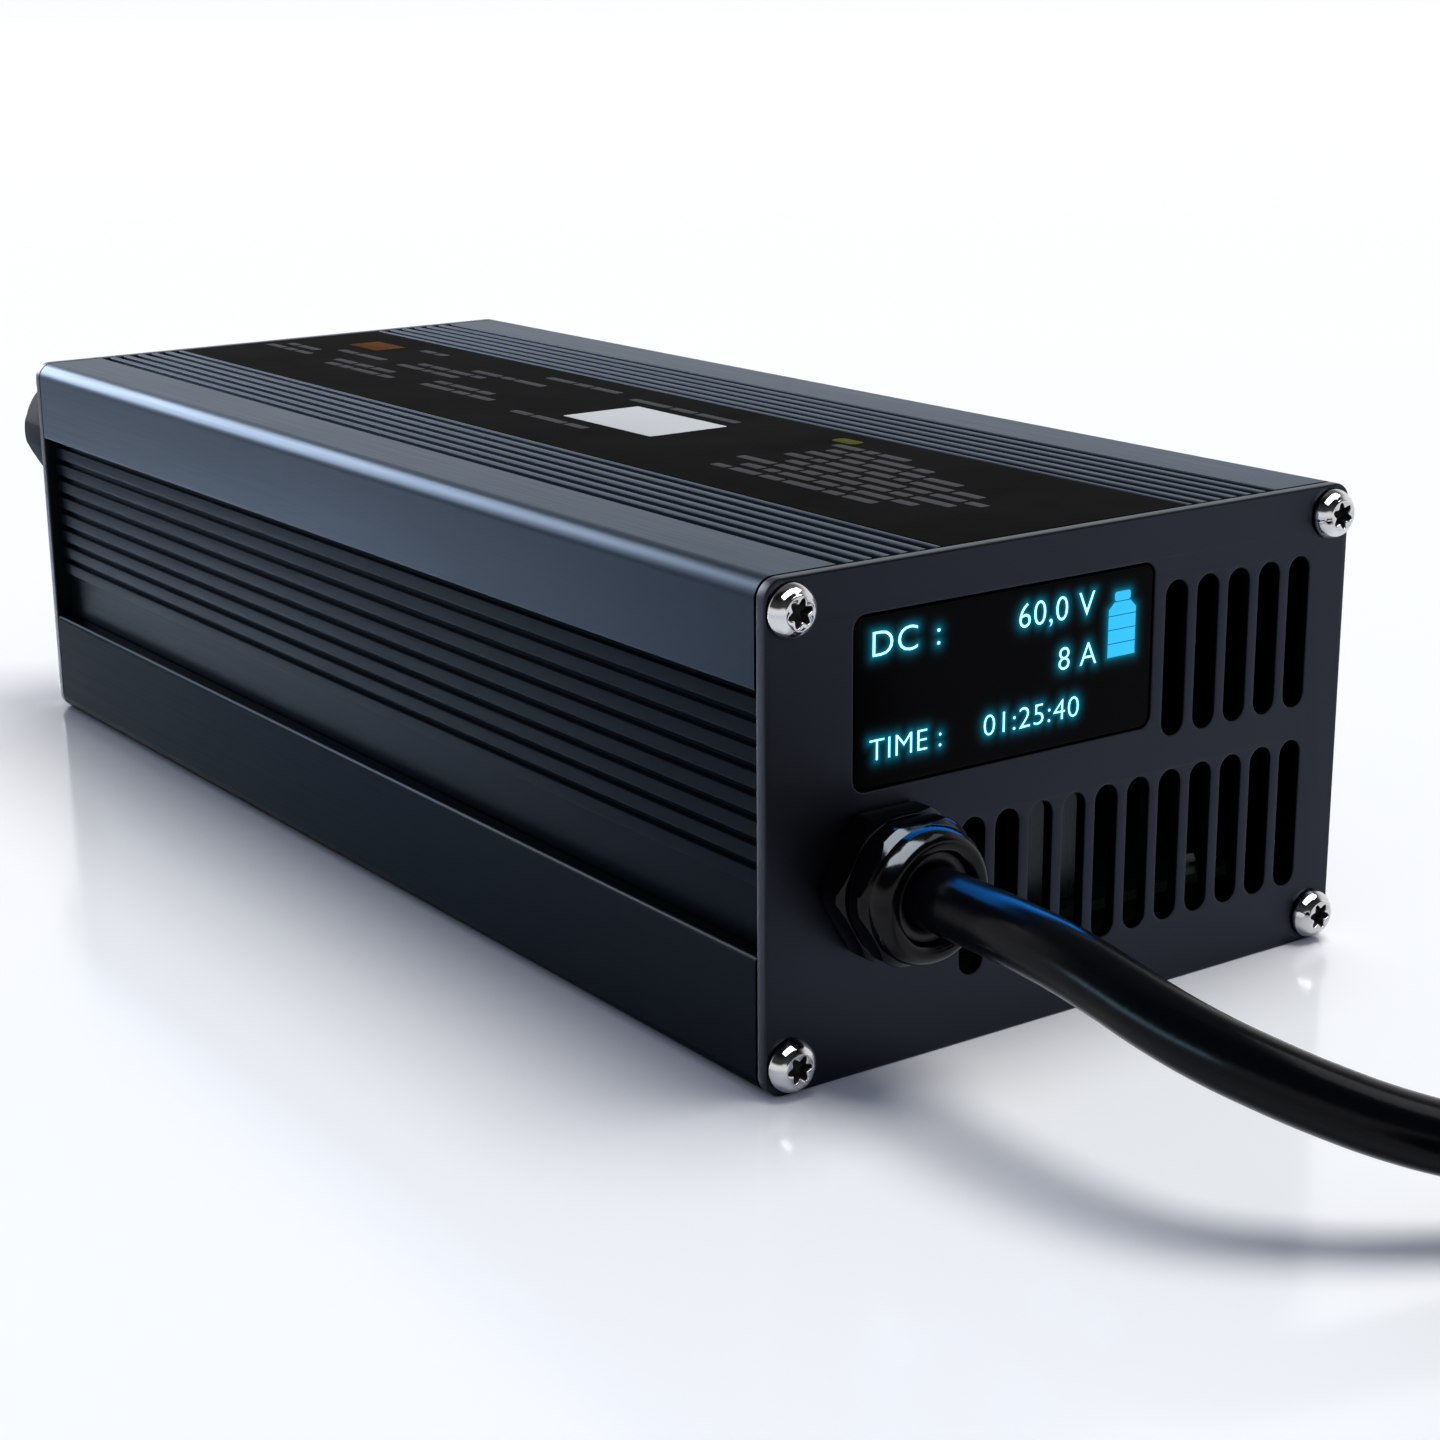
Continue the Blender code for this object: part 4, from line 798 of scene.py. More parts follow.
@dataclass(frozen=True)
class WoundFinish(Finish):
    """Wire turns, tape layers or a weave, whose lines raise the surface, with painted shade darkening the colour in the
    troughs between them.
    """

    pitch: float = 300.0
    # painted shade: the colour in the troughs between the lines
    groove: Colour = (0.01, 0.01, 0.01)

    def toned(self, nodes: Nodes, place: bpy.types.NodeSocket) -> bpy.types.NodeSocket:
        """The colour over the surface, with painted shade between the lines."""
        lines = self.effect(nodes, Effect.WINDING, Vector=place, Scale=self.pitch)
        return nodes.blend(lines.outputs["Mask"], self.groove, Finish.toned(self, nodes, place))

    def textured(self, nodes: Nodes, place: bpy.types.NodeSocket) -> tuple:
        """The roughness and the height over the surface.

        Args:
            nodes: The material's nodes.
            place: The coordinates.

        Returns:
            The two sockets.
        """
        value, height = Finish.textured(self, nodes, place)
        lines = self.effect(nodes, Effect.WINDING, Vector=place, Scale=self.pitch)
        return value, nodes.math("ADD", height, nodes.math("MULTIPLY", lines.outputs["Height"], 3.0))


@dataclass(frozen=True)
class LitFinish(Finish):
    """A surface that gives light, by the share that the piece's own attribute says or all over."""

    light: Colour = (0.6, 0.9, 1.0)
    strength: float = 1.0
    attribute: str = ""

    def extra(self, nodes: Nodes, shader: bpy.types.Node) -> None:
        """Adds the light.

        Args:
            nodes: The material's nodes.
            shader: The material's shader.
        """
        shader.inputs["Emission Strength"].default_value = self.strength
        if self.attribute:
            share = nodes.add("ShaderNodeAttribute", attribute_name=self.attribute).outputs["Fac"]
            nodes.tree.links.new(nodes.blend(share, (0.0, 0.0, 0.0), self.light), shader.inputs["Emission Color"])
        else:
            shader.inputs["Emission Color"].default_value = (*self.light, 1.0)


# painted shade: the recessed rib zone below the side band turns darker and less metallic through its mask
CASE = DrawnFinish(
    "case_anodised", "case_anodised", (0.014, 0.020, 0.032), (0.018, 0.024, 0.037), (0.31, 0.38), 1.0,
    drift=9.0, grain=9000.0, bump=0.0025 * MM, dust=0.012, specular=0.001, rim=(0.72, 0.79, 0.89),
    painted_shade_mask="ribbed", dark=(0.006, 0.008, 0.012), fade=0.6,
)
# painted shade: the tray takes a darker, duller copy of the case's finish, so the case stands darker towards the bottom
TRAY = replace(
    CASE, name="tray_anodised_painted_shade", colour=(0.0125, 0.0150, 0.0200), second=(0.0145, 0.0172, 0.0225),
    rim=(0.445, 0.450, 0.452), painted_shade_mask="", fade=0.0,
)
PLATE = Finish(
    "plate_anodised", "plate_anodised", (0.023, 0.0255, 0.035), (0.027, 0.030, 0.040), (0.33, 0.41), 1.0,
    drift=12.0, grain=7000.0, bump=0.004 * MM, dust=0.01, rim=(0.90, 0.95, 1.0),
)
# painted shade: the screw sockets turn dark and lose their metal through the recess mask
STEEL = RecessShadeFinish(
    "screw_steel", "screw_steel", (0.60, 0.60, 0.61), (0.66, 0.66, 0.67), (0.05, 0.11), 1.0,
    drift=300.0, grain=5000.0, bump=0.001 * MM,
)
GLASS = Finish(
    "display_glass", "display_glass", (0.0006, 0.0006, 0.001), (0.0009, 0.0009, 0.0014), (0.12, 0.16),
    specular=0.03, grain=2000.0, bump=0.0005 * MM,
)
GLOW = LitFinish(
    "display_glow", "display_glass", (0.0006, 0.0006, 0.001), (0.0009, 0.0009, 0.0014), (0.12, 0.16),
    specular=0.03, grain=2000.0, bump=0.0005 * MM, light=(0.005, 0.30, 0.46), strength=0.9, attribute="glow",
)
FIGURES = LitFinish(
    "display_figures", "display_glass", (0.02, 0.03, 0.03), (0.02, 0.03, 0.03), (0.3, 0.4),
    specular=0.1, light=(0.20, 0.62, 1.0), strength=4.0,
)
BATTERY = LitFinish(
    "display_battery", "display_glass", (0.0, 0.02, 0.03), (0.0, 0.02, 0.03), (0.3, 0.4),
    specular=0.1, light=(0.035, 0.56, 1.0), strength=1.0,
)
LABEL = Finish(
    "label_film", "label_film", (0.0028, 0.0028, 0.0029), (0.0040, 0.0040, 0.0041), (0.42, 0.52),
    specular=0.001, drift=15.0, grain=2500.0, bump=0.006 * MM, dust=0.008,
)
PRINT_GREY = replace(LABEL, name="print_grey", colour=(0.060, 0.061, 0.063), second=(0.078, 0.079, 0.081))
PRINT_PALE = replace(LABEL, name="print_pale", colour=(0.58, 0.585, 0.59), second=(0.64, 0.645, 0.65))
PRINT_WARM = replace(LABEL, name="print_warm", colour=(0.085, 0.030, 0.008), second=(0.11, 0.040, 0.010))
PRINT_GREEN = replace(LABEL, name="print_green", colour=(0.070, 0.075, 0.008), second=(0.090, 0.095, 0.012))
NYLON = Finish(
    "gland_nylon", "gland_plastic", (0.0008, 0.0009, 0.0013), (0.0012, 0.0014, 0.0019), (0.09, 0.17),
    drift=60.0, grain=1800.0, bump=0.006 * MM, specular=0.16,
)
# painted light: the rear gland's satin copy of the nylon is rougher and also lighter and bluer, a lit copy of the black
# nylon
NYLON_SATIN_PAINTED_LIGHT = replace(
    NYLON, name="gland_nylon_satin_painted_light", colour=(0.020, 0.029, 0.047), second=(0.025, 0.036, 0.057),
    roughness=(0.55, 0.65), specular=0.02,
)
SEAL = Finish(
    "seal_rubber", "seal_rubber", (0.010, 0.010, 0.011), (0.014, 0.014, 0.015), (0.5, 0.6),
    drift=80.0, grain=2500.0, bump=0.02 * MM,
)
JACKET = Finish(
    "cord_jacket", "cord_jacket", (0.0018, 0.0022, 0.0032), (0.0026, 0.0031, 0.0045), (0.17, 0.25),
    drift=40.0, grain=1500.0, bump=0.010 * MM, specular=0.10,
)
STRAP = WoundFinish(
    "tie_weave", "tie_fabric", (0.020, 0.020, 0.022), (0.028, 0.028, 0.030), (0.8, 0.9),
    grain=4000.0, bump=0.05 * MM, specular=0.2, pitch=900.0, groove=(0.008, 0.008, 0.009),
)
PLUG_METAL = DrawnFinish(
    "plug_nickel", "plug_metal", (0.60, 0.61, 0.63), (0.66, 0.67, 0.68), (0.22, 0.30), 1.0,
    drift=80.0, grain=6000.0, bump=0.003 * MM, along=(1.0, 1.0, 1.0),
)
PLUG_PLASTIC = Finish("plug_insert", "plug_plastic", (0.012, 0.012, 0.013), (0.016, 0.016, 0.017), (0.35, 0.45))
PIN_METAL = Finish("pin_brass", "plug_metal", (0.72, 0.56, 0.28), (0.78, 0.62, 0.34), (0.2, 0.3), 1.0, grain=6000.0)
BOOT = Finish(
    "boot_rubber", "boot_rubber", (0.008, 0.008, 0.009), (0.012, 0.012, 0.013), (0.45, 0.55),
    grain=2500.0, bump=0.02 * MM,
)
# the mask's own dark green, darkened further with painted shade for the dim inside of the case
BOARD = Finish(
    "board_mask", "board_laminate", (0.003, 0.016, 0.008), (0.005, 0.024, 0.012), (0.35, 0.47),
    drift=180.0, grain=1600.0, bump=0.02 * MM,
)
PANEL = Finish("panel_laminate", "display_board", (0.008, 0.05, 0.03), (0.012, 0.07, 0.04), (0.35, 0.45), drift=150.0)
BRASS = Finish("standoff_brass", "brass", (0.70, 0.52, 0.22), (0.76, 0.58, 0.28), (0.25, 0.35), 1.0, grain=5000.0)
FILM = Finish("insulating_film", "film", (0.16, 0.12, 0.06), (0.20, 0.15, 0.08), (0.3, 0.4), grain=1500.0)
FERRITE = Finish(
    "ferrite", "ferrite", (0.035, 0.035, 0.038), (0.055, 0.054, 0.056), (0.55, 0.68), grain=3500.0, bump=0.04 * MM,
)
TAPE = WoundFinish(
    "winding_tape", "winding_tape", (0.75, 0.50, 0.05), (0.80, 0.56, 0.08), (0.3, 0.42),
    bump=0.03 * MM, pitch=120.0, groove=(0.35, 0.22, 0.02),
)
COPPER = WoundFinish(
    "copper_wire", "copper_wire", (0.62, 0.24, 0.09), (0.70, 0.30, 0.12), (0.22, 0.32), 0.9,
    bump=0.05 * MM, pitch=260.0, groove=(0.06, 0.02, 0.01),
)
SLEEVE = Finish(
    "capacitor_sleeve", "capacitor_sleeve", (0.012, 0.016, 0.04), (0.018, 0.022, 0.05), (0.25, 0.33),
    grain=1800.0, bump=0.015 * MM,
)
# painted shade: the aluminium is far darker than its own colour, standing in for the dim inside of the case
SINK = DrawnFinish(
    "sink_aluminium", "sink_aluminium", (0.050, 0.052, 0.056), (0.062, 0.064, 0.068), (0.25, 0.35), 1.0,
    along=(1.0, 1.0, 0.01), bump=0.004 * MM,
)
DEVICE = Finish("device_epoxy", "device_plastic", (0.012, 0.012, 0.013), (0.018, 0.018, 0.019), (0.45, 0.55))
# painted shade: the white ceramic is greyed for the dim inside of the case
CERAMIC = Finish("fuse_ceramic", "ceramic", (0.40, 0.385, 0.35), (0.46, 0.445, 0.41), (0.2, 0.3), grain=2000.0)
RELAY = Finish("relay_case", "relay_plastic", (0.010, 0.05, 0.22), (0.014, 0.06, 0.26), (0.3, 0.4), grain=2000.0)
FAN = Finish("fan_plastic", "fan_plastic", (0.010, 0.010, 0.011), (0.015, 0.015, 0.016), (0.36, 0.46), grain=2200.0)
FINISHES = (
    CASE, PLATE, STEEL, GLASS, PANEL, LABEL, NYLON, SEAL, JACKET, STRAP, PLUG_METAL, PLUG_PLASTIC, BOOT, BOARD,
    BRASS, FILM, FERRITE, TAPE, COPPER, SLEEVE, SINK, DEVICE, CERAMIC, RELAY, FAN,
)
SLOT_FINISHES = {finish.slot: finish for finish in FINISHES}


def dressed(
    piece: bpy.types.Object, finish: Finish, body: str = CHARGER, nodes: tuple[str, ...] = ()
) -> bpy.types.Object:
    """Gives a piece its finish, its body and the nodes that it stands for.

    Args:
        piece: The finished piece, in place.
        finish: Its finish.
        body: The body that it rides on.
        nodes: The solids that it replaces.

    Returns:
        The same piece.
    """
    piece.data.materials.clear()
    piece.data.materials.append(finish.material())
    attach(piece, body)
    if nodes:
        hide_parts(*nodes)
    return piece


# ---------------------------------------------------------------- camera, floor and lights


@dataclass(frozen=True)
class Viewpoint:
    """The camera, placed from the front plate's face."""

    across: float = -0.250507
    ahead: float = 0.265724
    height: float = 0.148016
    right: Point = (0.8261393914657271, -0.5632978810053771, -0.01375511263094914)
    up: Point = (0.1656302057309847, 0.219437334526567, 0.9614644513269262)
    back: Point = (-0.5385725028426069, -0.7965819188700729, 0.27458496992938763)
    lens: float = 66.285
    sensor: float = 36.0
    shift: float = 0.04167
    reach: Flat = (0.01, 200.0)

    def place(self) -> None:
        """Makes the camera and gives it to the scene."""
        data = bpy.data.cameras.new("viewpoint")
        data.lens = self.lens
        data.sensor_width = self.sensor
        data.shift_x = self.shift
        data.clip_start, data.clip_end = self.reach
        camera = linked("viewpoint", data)
        turn = Matrix((self.right, self.up, self.back)).transposed().to_4x4()
        camera.matrix_world = Matrix.Translation((self.across, FRONT_FACE - self.ahead, self.height)) @ turn
        bpy.context.scene.camera = camera


@dataclass(frozen=True)
class SoftLamp:
    """A rectangular lamp that faces a point, lights gloss alone and may light only some pieces."""

    name: str
    place: Point
    target: Point
    size: Flat
    power: float
    colour: Colour = (1.0, 1.0, 1.0)
    only: tuple[str, ...] = ()

    def hang(self) -> None:
        """Makes the lamp."""
        data = bpy.data.lights.new(self.name, "AREA")
        data.shape = "RECTANGLE"
        data.size, data.size_y = self.size
        data.energy = self.power
        data.color = self.colour
        lamp = linked(self.name, data)
        if self.only:
            lamp.light_linking.receiver_collection = bpy.data.collections.new(self.name)
            for piece in self.only:
                lamp.light_linking.receiver_collection.objects.link(bpy.data.objects[piece])
        lamp.visible_camera = False
        lamp.visible_diffuse = False
        lamp.location = self.place
        lamp.rotation_euler = (Vector(self.target) - Vector(self.place)).to_track_quat("-Z", "Y").to_euler()


@dataclass(frozen=True)
class Studio:
    """A white glossy floor that runs to the horizon, a white backdrop, a dim room behind it and soft lamps."""

    floor_reach: float = 60.0
    floor_roughness: float = 0.13
    floor_bounce: float = 0.80
    sky: Colour = (0.25, 0.28, 0.38)
    room: float = 0.05
    away: Flat = (0.56, 0.83)
    room_span: Flat = (-0.15, 0.25)
    ceiling: float = 0.12
    ceiling_span: Flat = (0.36, 0.80)
    horizon_span: Flat = (0.10, 0.30)
    sun_strength: float = 2.34
    sun_angle: float = 36.0
    sun_from: Point = (0.27, 0.0, 0.963)
    sun_colour: Colour = (1.0, 1.0, 0.96)
    display: Point = (-12.5 * MM, 1.5 * MM, 50.0 * MM)
    display_aim: Point = (-12.5 * MM, 41.5 * MM, 40.0 * MM)
    display_size: Flat = (50.0 * MM, 9.0 * MM)
    display_power: float = 0.009
    display_colour: Colour = (0.01, 0.26, 1.0)
    display_reach: tuple[str, ...] = ("cord", "front_dome", "front_flange")
    lamps: tuple[SoftLamp, ...] = (
        SoftLamp("rear_left", (-0.30, 1.00, 0.48), (-0.05, 0.0, 0.06), (0.62, 0.62), 16.5, (1.02, 0.99, 0.94)),
        SoftLamp("front_right", (0.48, -0.46, 0.87), (0.0, -0.13, 0.05), (0.60, 0.30), 1.8, (0.97, 0.98, 1.0)),
        SoftLamp(
            "over_metal", (0.06, -0.44, 0.93), (0.0, -0.13, 0.05), (1.30, 0.50), 12.0, (0.98, 0.99, 1.0),
            tuple(f"front_screw_{number}_polished" for number in range(1, 5)),
        ),
        SoftLamp(
            "over_gland", (-0.30, -0.24, 0.95), (-0.03, -0.14, 0.03), (1.40, 0.80), 95.0, (0.82, 0.92, 1.04),
            ("front_dome",),
        ),
        SoftLamp(
            "beside_cord", (-0.62, -0.13, 0.06), (-0.02, -0.20, 0.02), (0.60, 0.10), 1.5, (0.45, 0.85, 1.15), ("cord",)
        ),
    )

    def set_up(self) -> None:
        """Makes the floor, the sky and the lamps."""
        self.lay_floor()
        self.light_sky()
        data = bpy.data.lights.new("daylight", "SUN")
        data.energy = self.sun_strength
        data.angle = math.radians(self.sun_angle)
        data.color = self.sun_colour
        sun = linked("daylight", data)
        sun.visible_glossy = False
        sun.rotation_euler = Vector(self.sun_from).to_track_quat("Z", "Y").to_euler()
        for lamp in self.lamps:
            lamp.hang()
        place, target = ((x, FRONT_FACE - ahead, z) for x, ahead, z in (self.display, self.display_aim))
        size, power = self.display_size, self.display_power
        SoftLamp("display_light", place, target, size, power, self.display_colour, self.display_reach).hang()

    def lay_floor(self) -> None:
        """Makes the floor: white with a soft mirror in it, and a little darker as a source of bounced light."""
        shape = bmesh.new()
        bmesh.ops.create_grid(shape, x_segments=8, y_segments=8, size=self.floor_reach)
        floor = made_piece("floor", shape)
        material = bpy.data.materials.new("floor_white")
        material.use_nodes = True
        nodes = Nodes(material.node_tree)
        shader = material.node_tree.nodes["Principled BSDF"]
        shader.inputs["Specular IOR Level"].default_value = 0.5
        shader.inputs["Roughness"].default_value = self.floor_roughness
        white = nodes.blend(self.seen(nodes), (self.floor_bounce,) * 3, (1.0, 1.0, 1.0))  # full white to the eye
        material.node_tree.links.new(white, shader.inputs["Base Color"])
        floor.data.materials.append(material)

    def seen(self, nodes: Nodes) -> bpy.types.NodeSocket:
        """Whether a ray comes from the eye, from gloss or through glass.

        Args:
            nodes: The tree's nodes.

        Returns:
            One for such a ray, and zero for scattered light.
        """
        path = nodes.add("ShaderNodeLightPath")
        seen = nodes.math("MAXIMUM", path.outputs["Is Camera Ray"], path.outputs["Is Glossy Ray"])
        return nodes.math("MAXIMUM", seen, path.outputs["Is Transmission Ray"])

    def step(self, nodes: Nodes, value: bpy.types.NodeSocket, span: Flat, ends: Flat) -> bpy.types.NodeSocket:
        """A smooth step from one value to another."""
        slots = {"Value": value, "From Min": span[0], "From Max": span[1], "To Min": ends[0], "To Max": ends[1]}
        return nodes.add("ShaderNodeMapRange", slots, interpolation_type="SMOOTHSTEP").outputs["Result"]

    def light_sky(self) -> None:
        """Makes a backdrop that is white to the eye and in gloss, with a dim room opposite, and a soft sky as light."""
        world = bpy.data.worlds.new("studio")
        bpy.context.scene.world = world
        world.use_nodes = True
        world.node_tree.nodes.clear()
        nodes = Nodes(world.node_tree)
        way = nodes.add("ShaderNodeTexCoord").outputs["Generated"]
        slots = {0: way, 1: (*self.away, 0.0)}
        facing = nodes.add("ShaderNodeVectorMath", slots, operation="DOT_PRODUCT").outputs["Value"]
        rise = nodes.add("ShaderNodeSeparateXYZ", {0: way}).outputs["Z"]
        backdrop = self.step(nodes, facing, self.room_span, (self.room, 1.0))
        ceiling = self.step(nodes, rise, self.ceiling_span, (1.0, self.ceiling))
        horizon = self.step(nodes, rise, self.horizon_span, (1.0, 0.0))
        shown = nodes.math("MAXIMUM", nodes.math("MULTIPLY", backdrop, ceiling), horizon)
        shown = nodes.math("MAXIMUM", shown, nodes.add("ShaderNodeLightPath").outputs["Is Camera Ray"])
        soft = nodes.add("ShaderNodeBackground", {"Color": (*self.sky, 1.0), "Strength": 1.0})
        white = nodes.add("ShaderNodeBackground", {"Color": (1.0, 1.0, 1.0, 1.0), "Strength": shown})
        mix = nodes.add("ShaderNodeMixShader", {0: self.seen(nodes), 1: soft.outputs[0], 2: white.outputs[0]})
        nodes.add("ShaderNodeOutputWorld", {"Surface": mix.outputs[0]})


# ---------------------------------------------------------------- output cord and plug


@dataclass(frozen=True)
class OutputCord:
    """The round cord: out of the front gland, down to the floor and into a tied coil, with a plug at its end."""

    radius: float = 4.5 * MM
    length: float = 1.19
    gland: Flat = FRONT_GLAND
    mouth: float = 12.0 * MM
    straight: Point = (-10.0, 6.0, 20.0)
    descent: tuple[Point, ...] = (
        (-35.3, 38.0, 27.6), (-32.3, 59.0, 22.6), (-18.3, 76.0, 15.0), (2.2, 89.2, 8.6),
    )
    step: float = 8.0 * MM
    coil_step: float = 15.0
    coil_x: float = 3.0 * MM
    coil_drop: float = 152.37 * MM
    tie_angles: Flat = (200.0, 335.0)
    tie_width: float = 12.0 * MM
    tie_thickness: float = 1.1 * MM
    tie_slack: float = 0.12 * MM
    tie_end: float = 15.0 * MM
    tie_end_place: Flat = (56.8 * MM, 14.6 * MM)
    tie_end_lean: float = -30.0
    sag: float = 1.2 * MM
    outer: float = 54.5
    middle_turn: float = 50.0
    inner: float = 45.5
    low: float = 6.0
    high: float = 13.8

    def free_stretch(self) -> list[Vector]:
        """The route from inside the case to the coil, at the solid's own points, in millimetres from the plate.

        Returns:
            Its points, evenly spaced along one smooth line.
        """
        route = [(self.gland[0] / MM, ahead, self.gland[1] / MM) for ahead in self.straight]
        route += self.descent
        points = [Vector((x * MM, FRONT_FACE - ahead * MM, z * MM)) for x, ahead, z in route]
        line: list[Vector] = []
        for index in range(len(points) - 1):
            before, after = points[max(index - 1, 0)], points[min(index + 2, len(points) - 1)]
            first, second = points[index], points[index + 1]
            linear = second - before
            square = 2 * before - 5 * first + 4 * second - after
            cube = 3 * first - before - 3 * second + after
            pieces = max(1, round((second - first).length / self.step))
            for piece in range(pieces):
                share = piece / pieces
                line.append(0.5 * (2 * first + linear * share + square * share**2 + cube * share**3))
        return line

    def coil_keys(self) -> list[Point]:
        """Angle travelled from the coil's near side, reach and height, where the turns change place.

        Returns:
            The keys in order.
        """
        out, mid, inner, high, low = self.outer, self.middle_turn, self.inner, self.high, self.low
        return [
            (-0.7, 63.2, 8.6), (8.0, 59.4, 7.9), (14.0, 56.8, 7.3), (21.0, 55.2, 6.7), (31.0, 54.6, 6.2),
            (45.0, out, low), (338.0, out, low), (349.0, 53.1, low), (360.0, mid, low), (371.0, 46.9, low),
            (382.0, inner, low), (676.0, inner, low), (690.0, inner, 7.2), (705.0, inner, 10.2), (720.0, 45.8, 13.9),
            (731.0, 47.2, 15.0), (744.0, 49.2, 14.4), (760.0, mid, high), (1040.0, mid, high),
            (1053.0, 51.4, 14.6), (1066.0, 54.4, 15.2), (1080.0, 58.8, 16.6), (1089.0, 61.0, 16.9),
            (1101.0, 62.7, 15.2), (1116.0, 63.1, 13.2), (1131.0, 63.2, 12.0), (1141.1, 63.4, 11.4),
            (1152.2, 67.0, 10.6), (1162.6, 69.9, 10.0), (1172.0, 72.3, 9.6), (1180.2, 74.2, 9.4),
        ]

    def coil_point(self, travelled: float, reach: float, height: float) -> Vector:
        """A point of the coil.

        Args:
            travelled: The angle from the coil's near side, clockwise from above, in degrees.
            reach: The distance from the coil's middle, in millimetres.
            height: Its height with the turns in their ties, in millimetres.

        Returns:
            The point, lowered a little where no tie holds the turns.
        """
        angle = math.radians(90.0 - travelled)
        gaps = [abs((90.0 - travelled - tie + 180.0) % 360.0 - 180.0) for tie in self.tie_angles]
        free = held((min(gaps) - 8.0) / 26.0) * held((travelled - 20.0) / 40.0) * held((1120.0 - travelled) / 60.0)
        z = height * MM - self.sag * free * free * (3.0 - 2.0 * free)
        middle = self.middle()
        return Vector((middle.x + reach * MM * math.cos(angle), middle.y + reach * MM * math.sin(angle), z))

    def middle(self) -> Vector:
        """The coil's middle on the floor."""
        return Vector((self.coil_x, FRONT_FACE - self.coil_drop, 0.0))

    def route(self) -> list[Vector]:
        """The whole route from inside the case to the plug.

        Returns:
            Its points in order.
        """
        points = self.free_stretch()
        keys = self.coil_keys()
        for first, second in zip(keys, keys[1:]):
            pieces = max(1, round((second[0] - first[0]) / self.coil_step))
            for piece in range(pieces):
                share = piece / pieces
                points.append(self.coil_point(*(a + (b - a) * share for a, b in zip(first, second))))
        points.append(self.coil_point(*keys[-1]))
        return points

    def jacket(self) -> bpy.types.Object:
        """The cord itself, as one smooth curve.

        Returns:
            The cord.
        """
        curve = bpy.data.curves.new("cord", "CURVE")
        curve.dimensions = "3D"
        curve.bevel_depth = self.radius
        curve.bevel_resolution = 10
        curve.resolution_u = 6
        curve.use_fill_caps = True
        curve.twist_mode = "MINIMUM"
        points = self.route()
        spline = curve.splines.new("BEZIER")
        spline.bezier_points.add(len(points) - 1)
        for point, place in zip(spline.bezier_points, points):
            point.co = place
            point.handle_left_type = point.handle_right_type = "AUTO"
        return dressed(linked("cord", curve), JACKET, nodes=("output_cord", "output_cord_coil", "output_cord_tail"))

    def tie(self, number: int, degrees: float) -> bpy.types.Object:
        """One hook-and-loop strap round the turns.

        Args:
            number: Its number.
            degrees: Its place round the coil.

        Returns:
            The strap.
        """
        grip = (self.radius + self.tie_slack) / MM
        centres = ((self.outer, self.low), (self.middle_turn, self.high), (self.inner, self.low))
        spans = ((-90.0, 30.0), (30.0, 150.0), (150.0, 270.0))
        path = [point for centre, (start, end) in zip(centres, spans) for point in arc(centre, grip, start, end, 12)]
        shape = bmesh.new()
        half = self.tie_width / 2
        corners = [shape.verts.new((r * MM, -half, z * MM)) for r, z in path]
        edges = [shape.edges.new((a, b)) for a, b in zip(corners, corners[1:] + corners[:1])]
        made = bmesh.ops.extrude_edge_only(shape, edges=edges)["geom"]
        moving = [part for part in made if isinstance(part, bmesh.types.BMVert)]
        bmesh.ops.translate(shape, vec=(0.0, self.tie_width, 0.0), verts=moving)
        bmesh.ops.recalc_face_normals(shape, faces=shape.faces)
        bmesh.ops.solidify(shape, geom=list(shape.faces), thickness=-self.tie_thickness)
        tail = box_shape((1.0 * MM, self.tie_width, self.tie_end), (0.0, 0.0, 0.0), 0.25 * MM)
        x, z = self.tie_end_place
        lean = Matrix.Translation((x, 0.0, z)) @ Matrix.Rotation(math.radians(self.tie_end_lean), 4, "Y")
        shape = joined([cleaned(shape), moved(tail, lean)])
        middle = self.middle()
        place = Matrix.Translation((middle.x, middle.y, 0.0)) @ Matrix.Rotation(math.radians(degrees), 4, "Z")
        piece = made_piece(f"cord_strap_{number}", moved(shape, place), 40.0)
        return dressed(piece, STRAP, nodes=(f"cord_tie_{number}",))

    def build(self, plug: list[bpy.types.Object]) -> list[bpy.types.Object]:
        """Args:
            plug: The plug's pieces; not used.

        Returns:
            The cord and its straps.
        """
        cord = self.jacket()
        ties = [self.tie(number, degrees) for number, degrees in enumerate(self.tie_angles, 1)]
        return [cord, *ties]


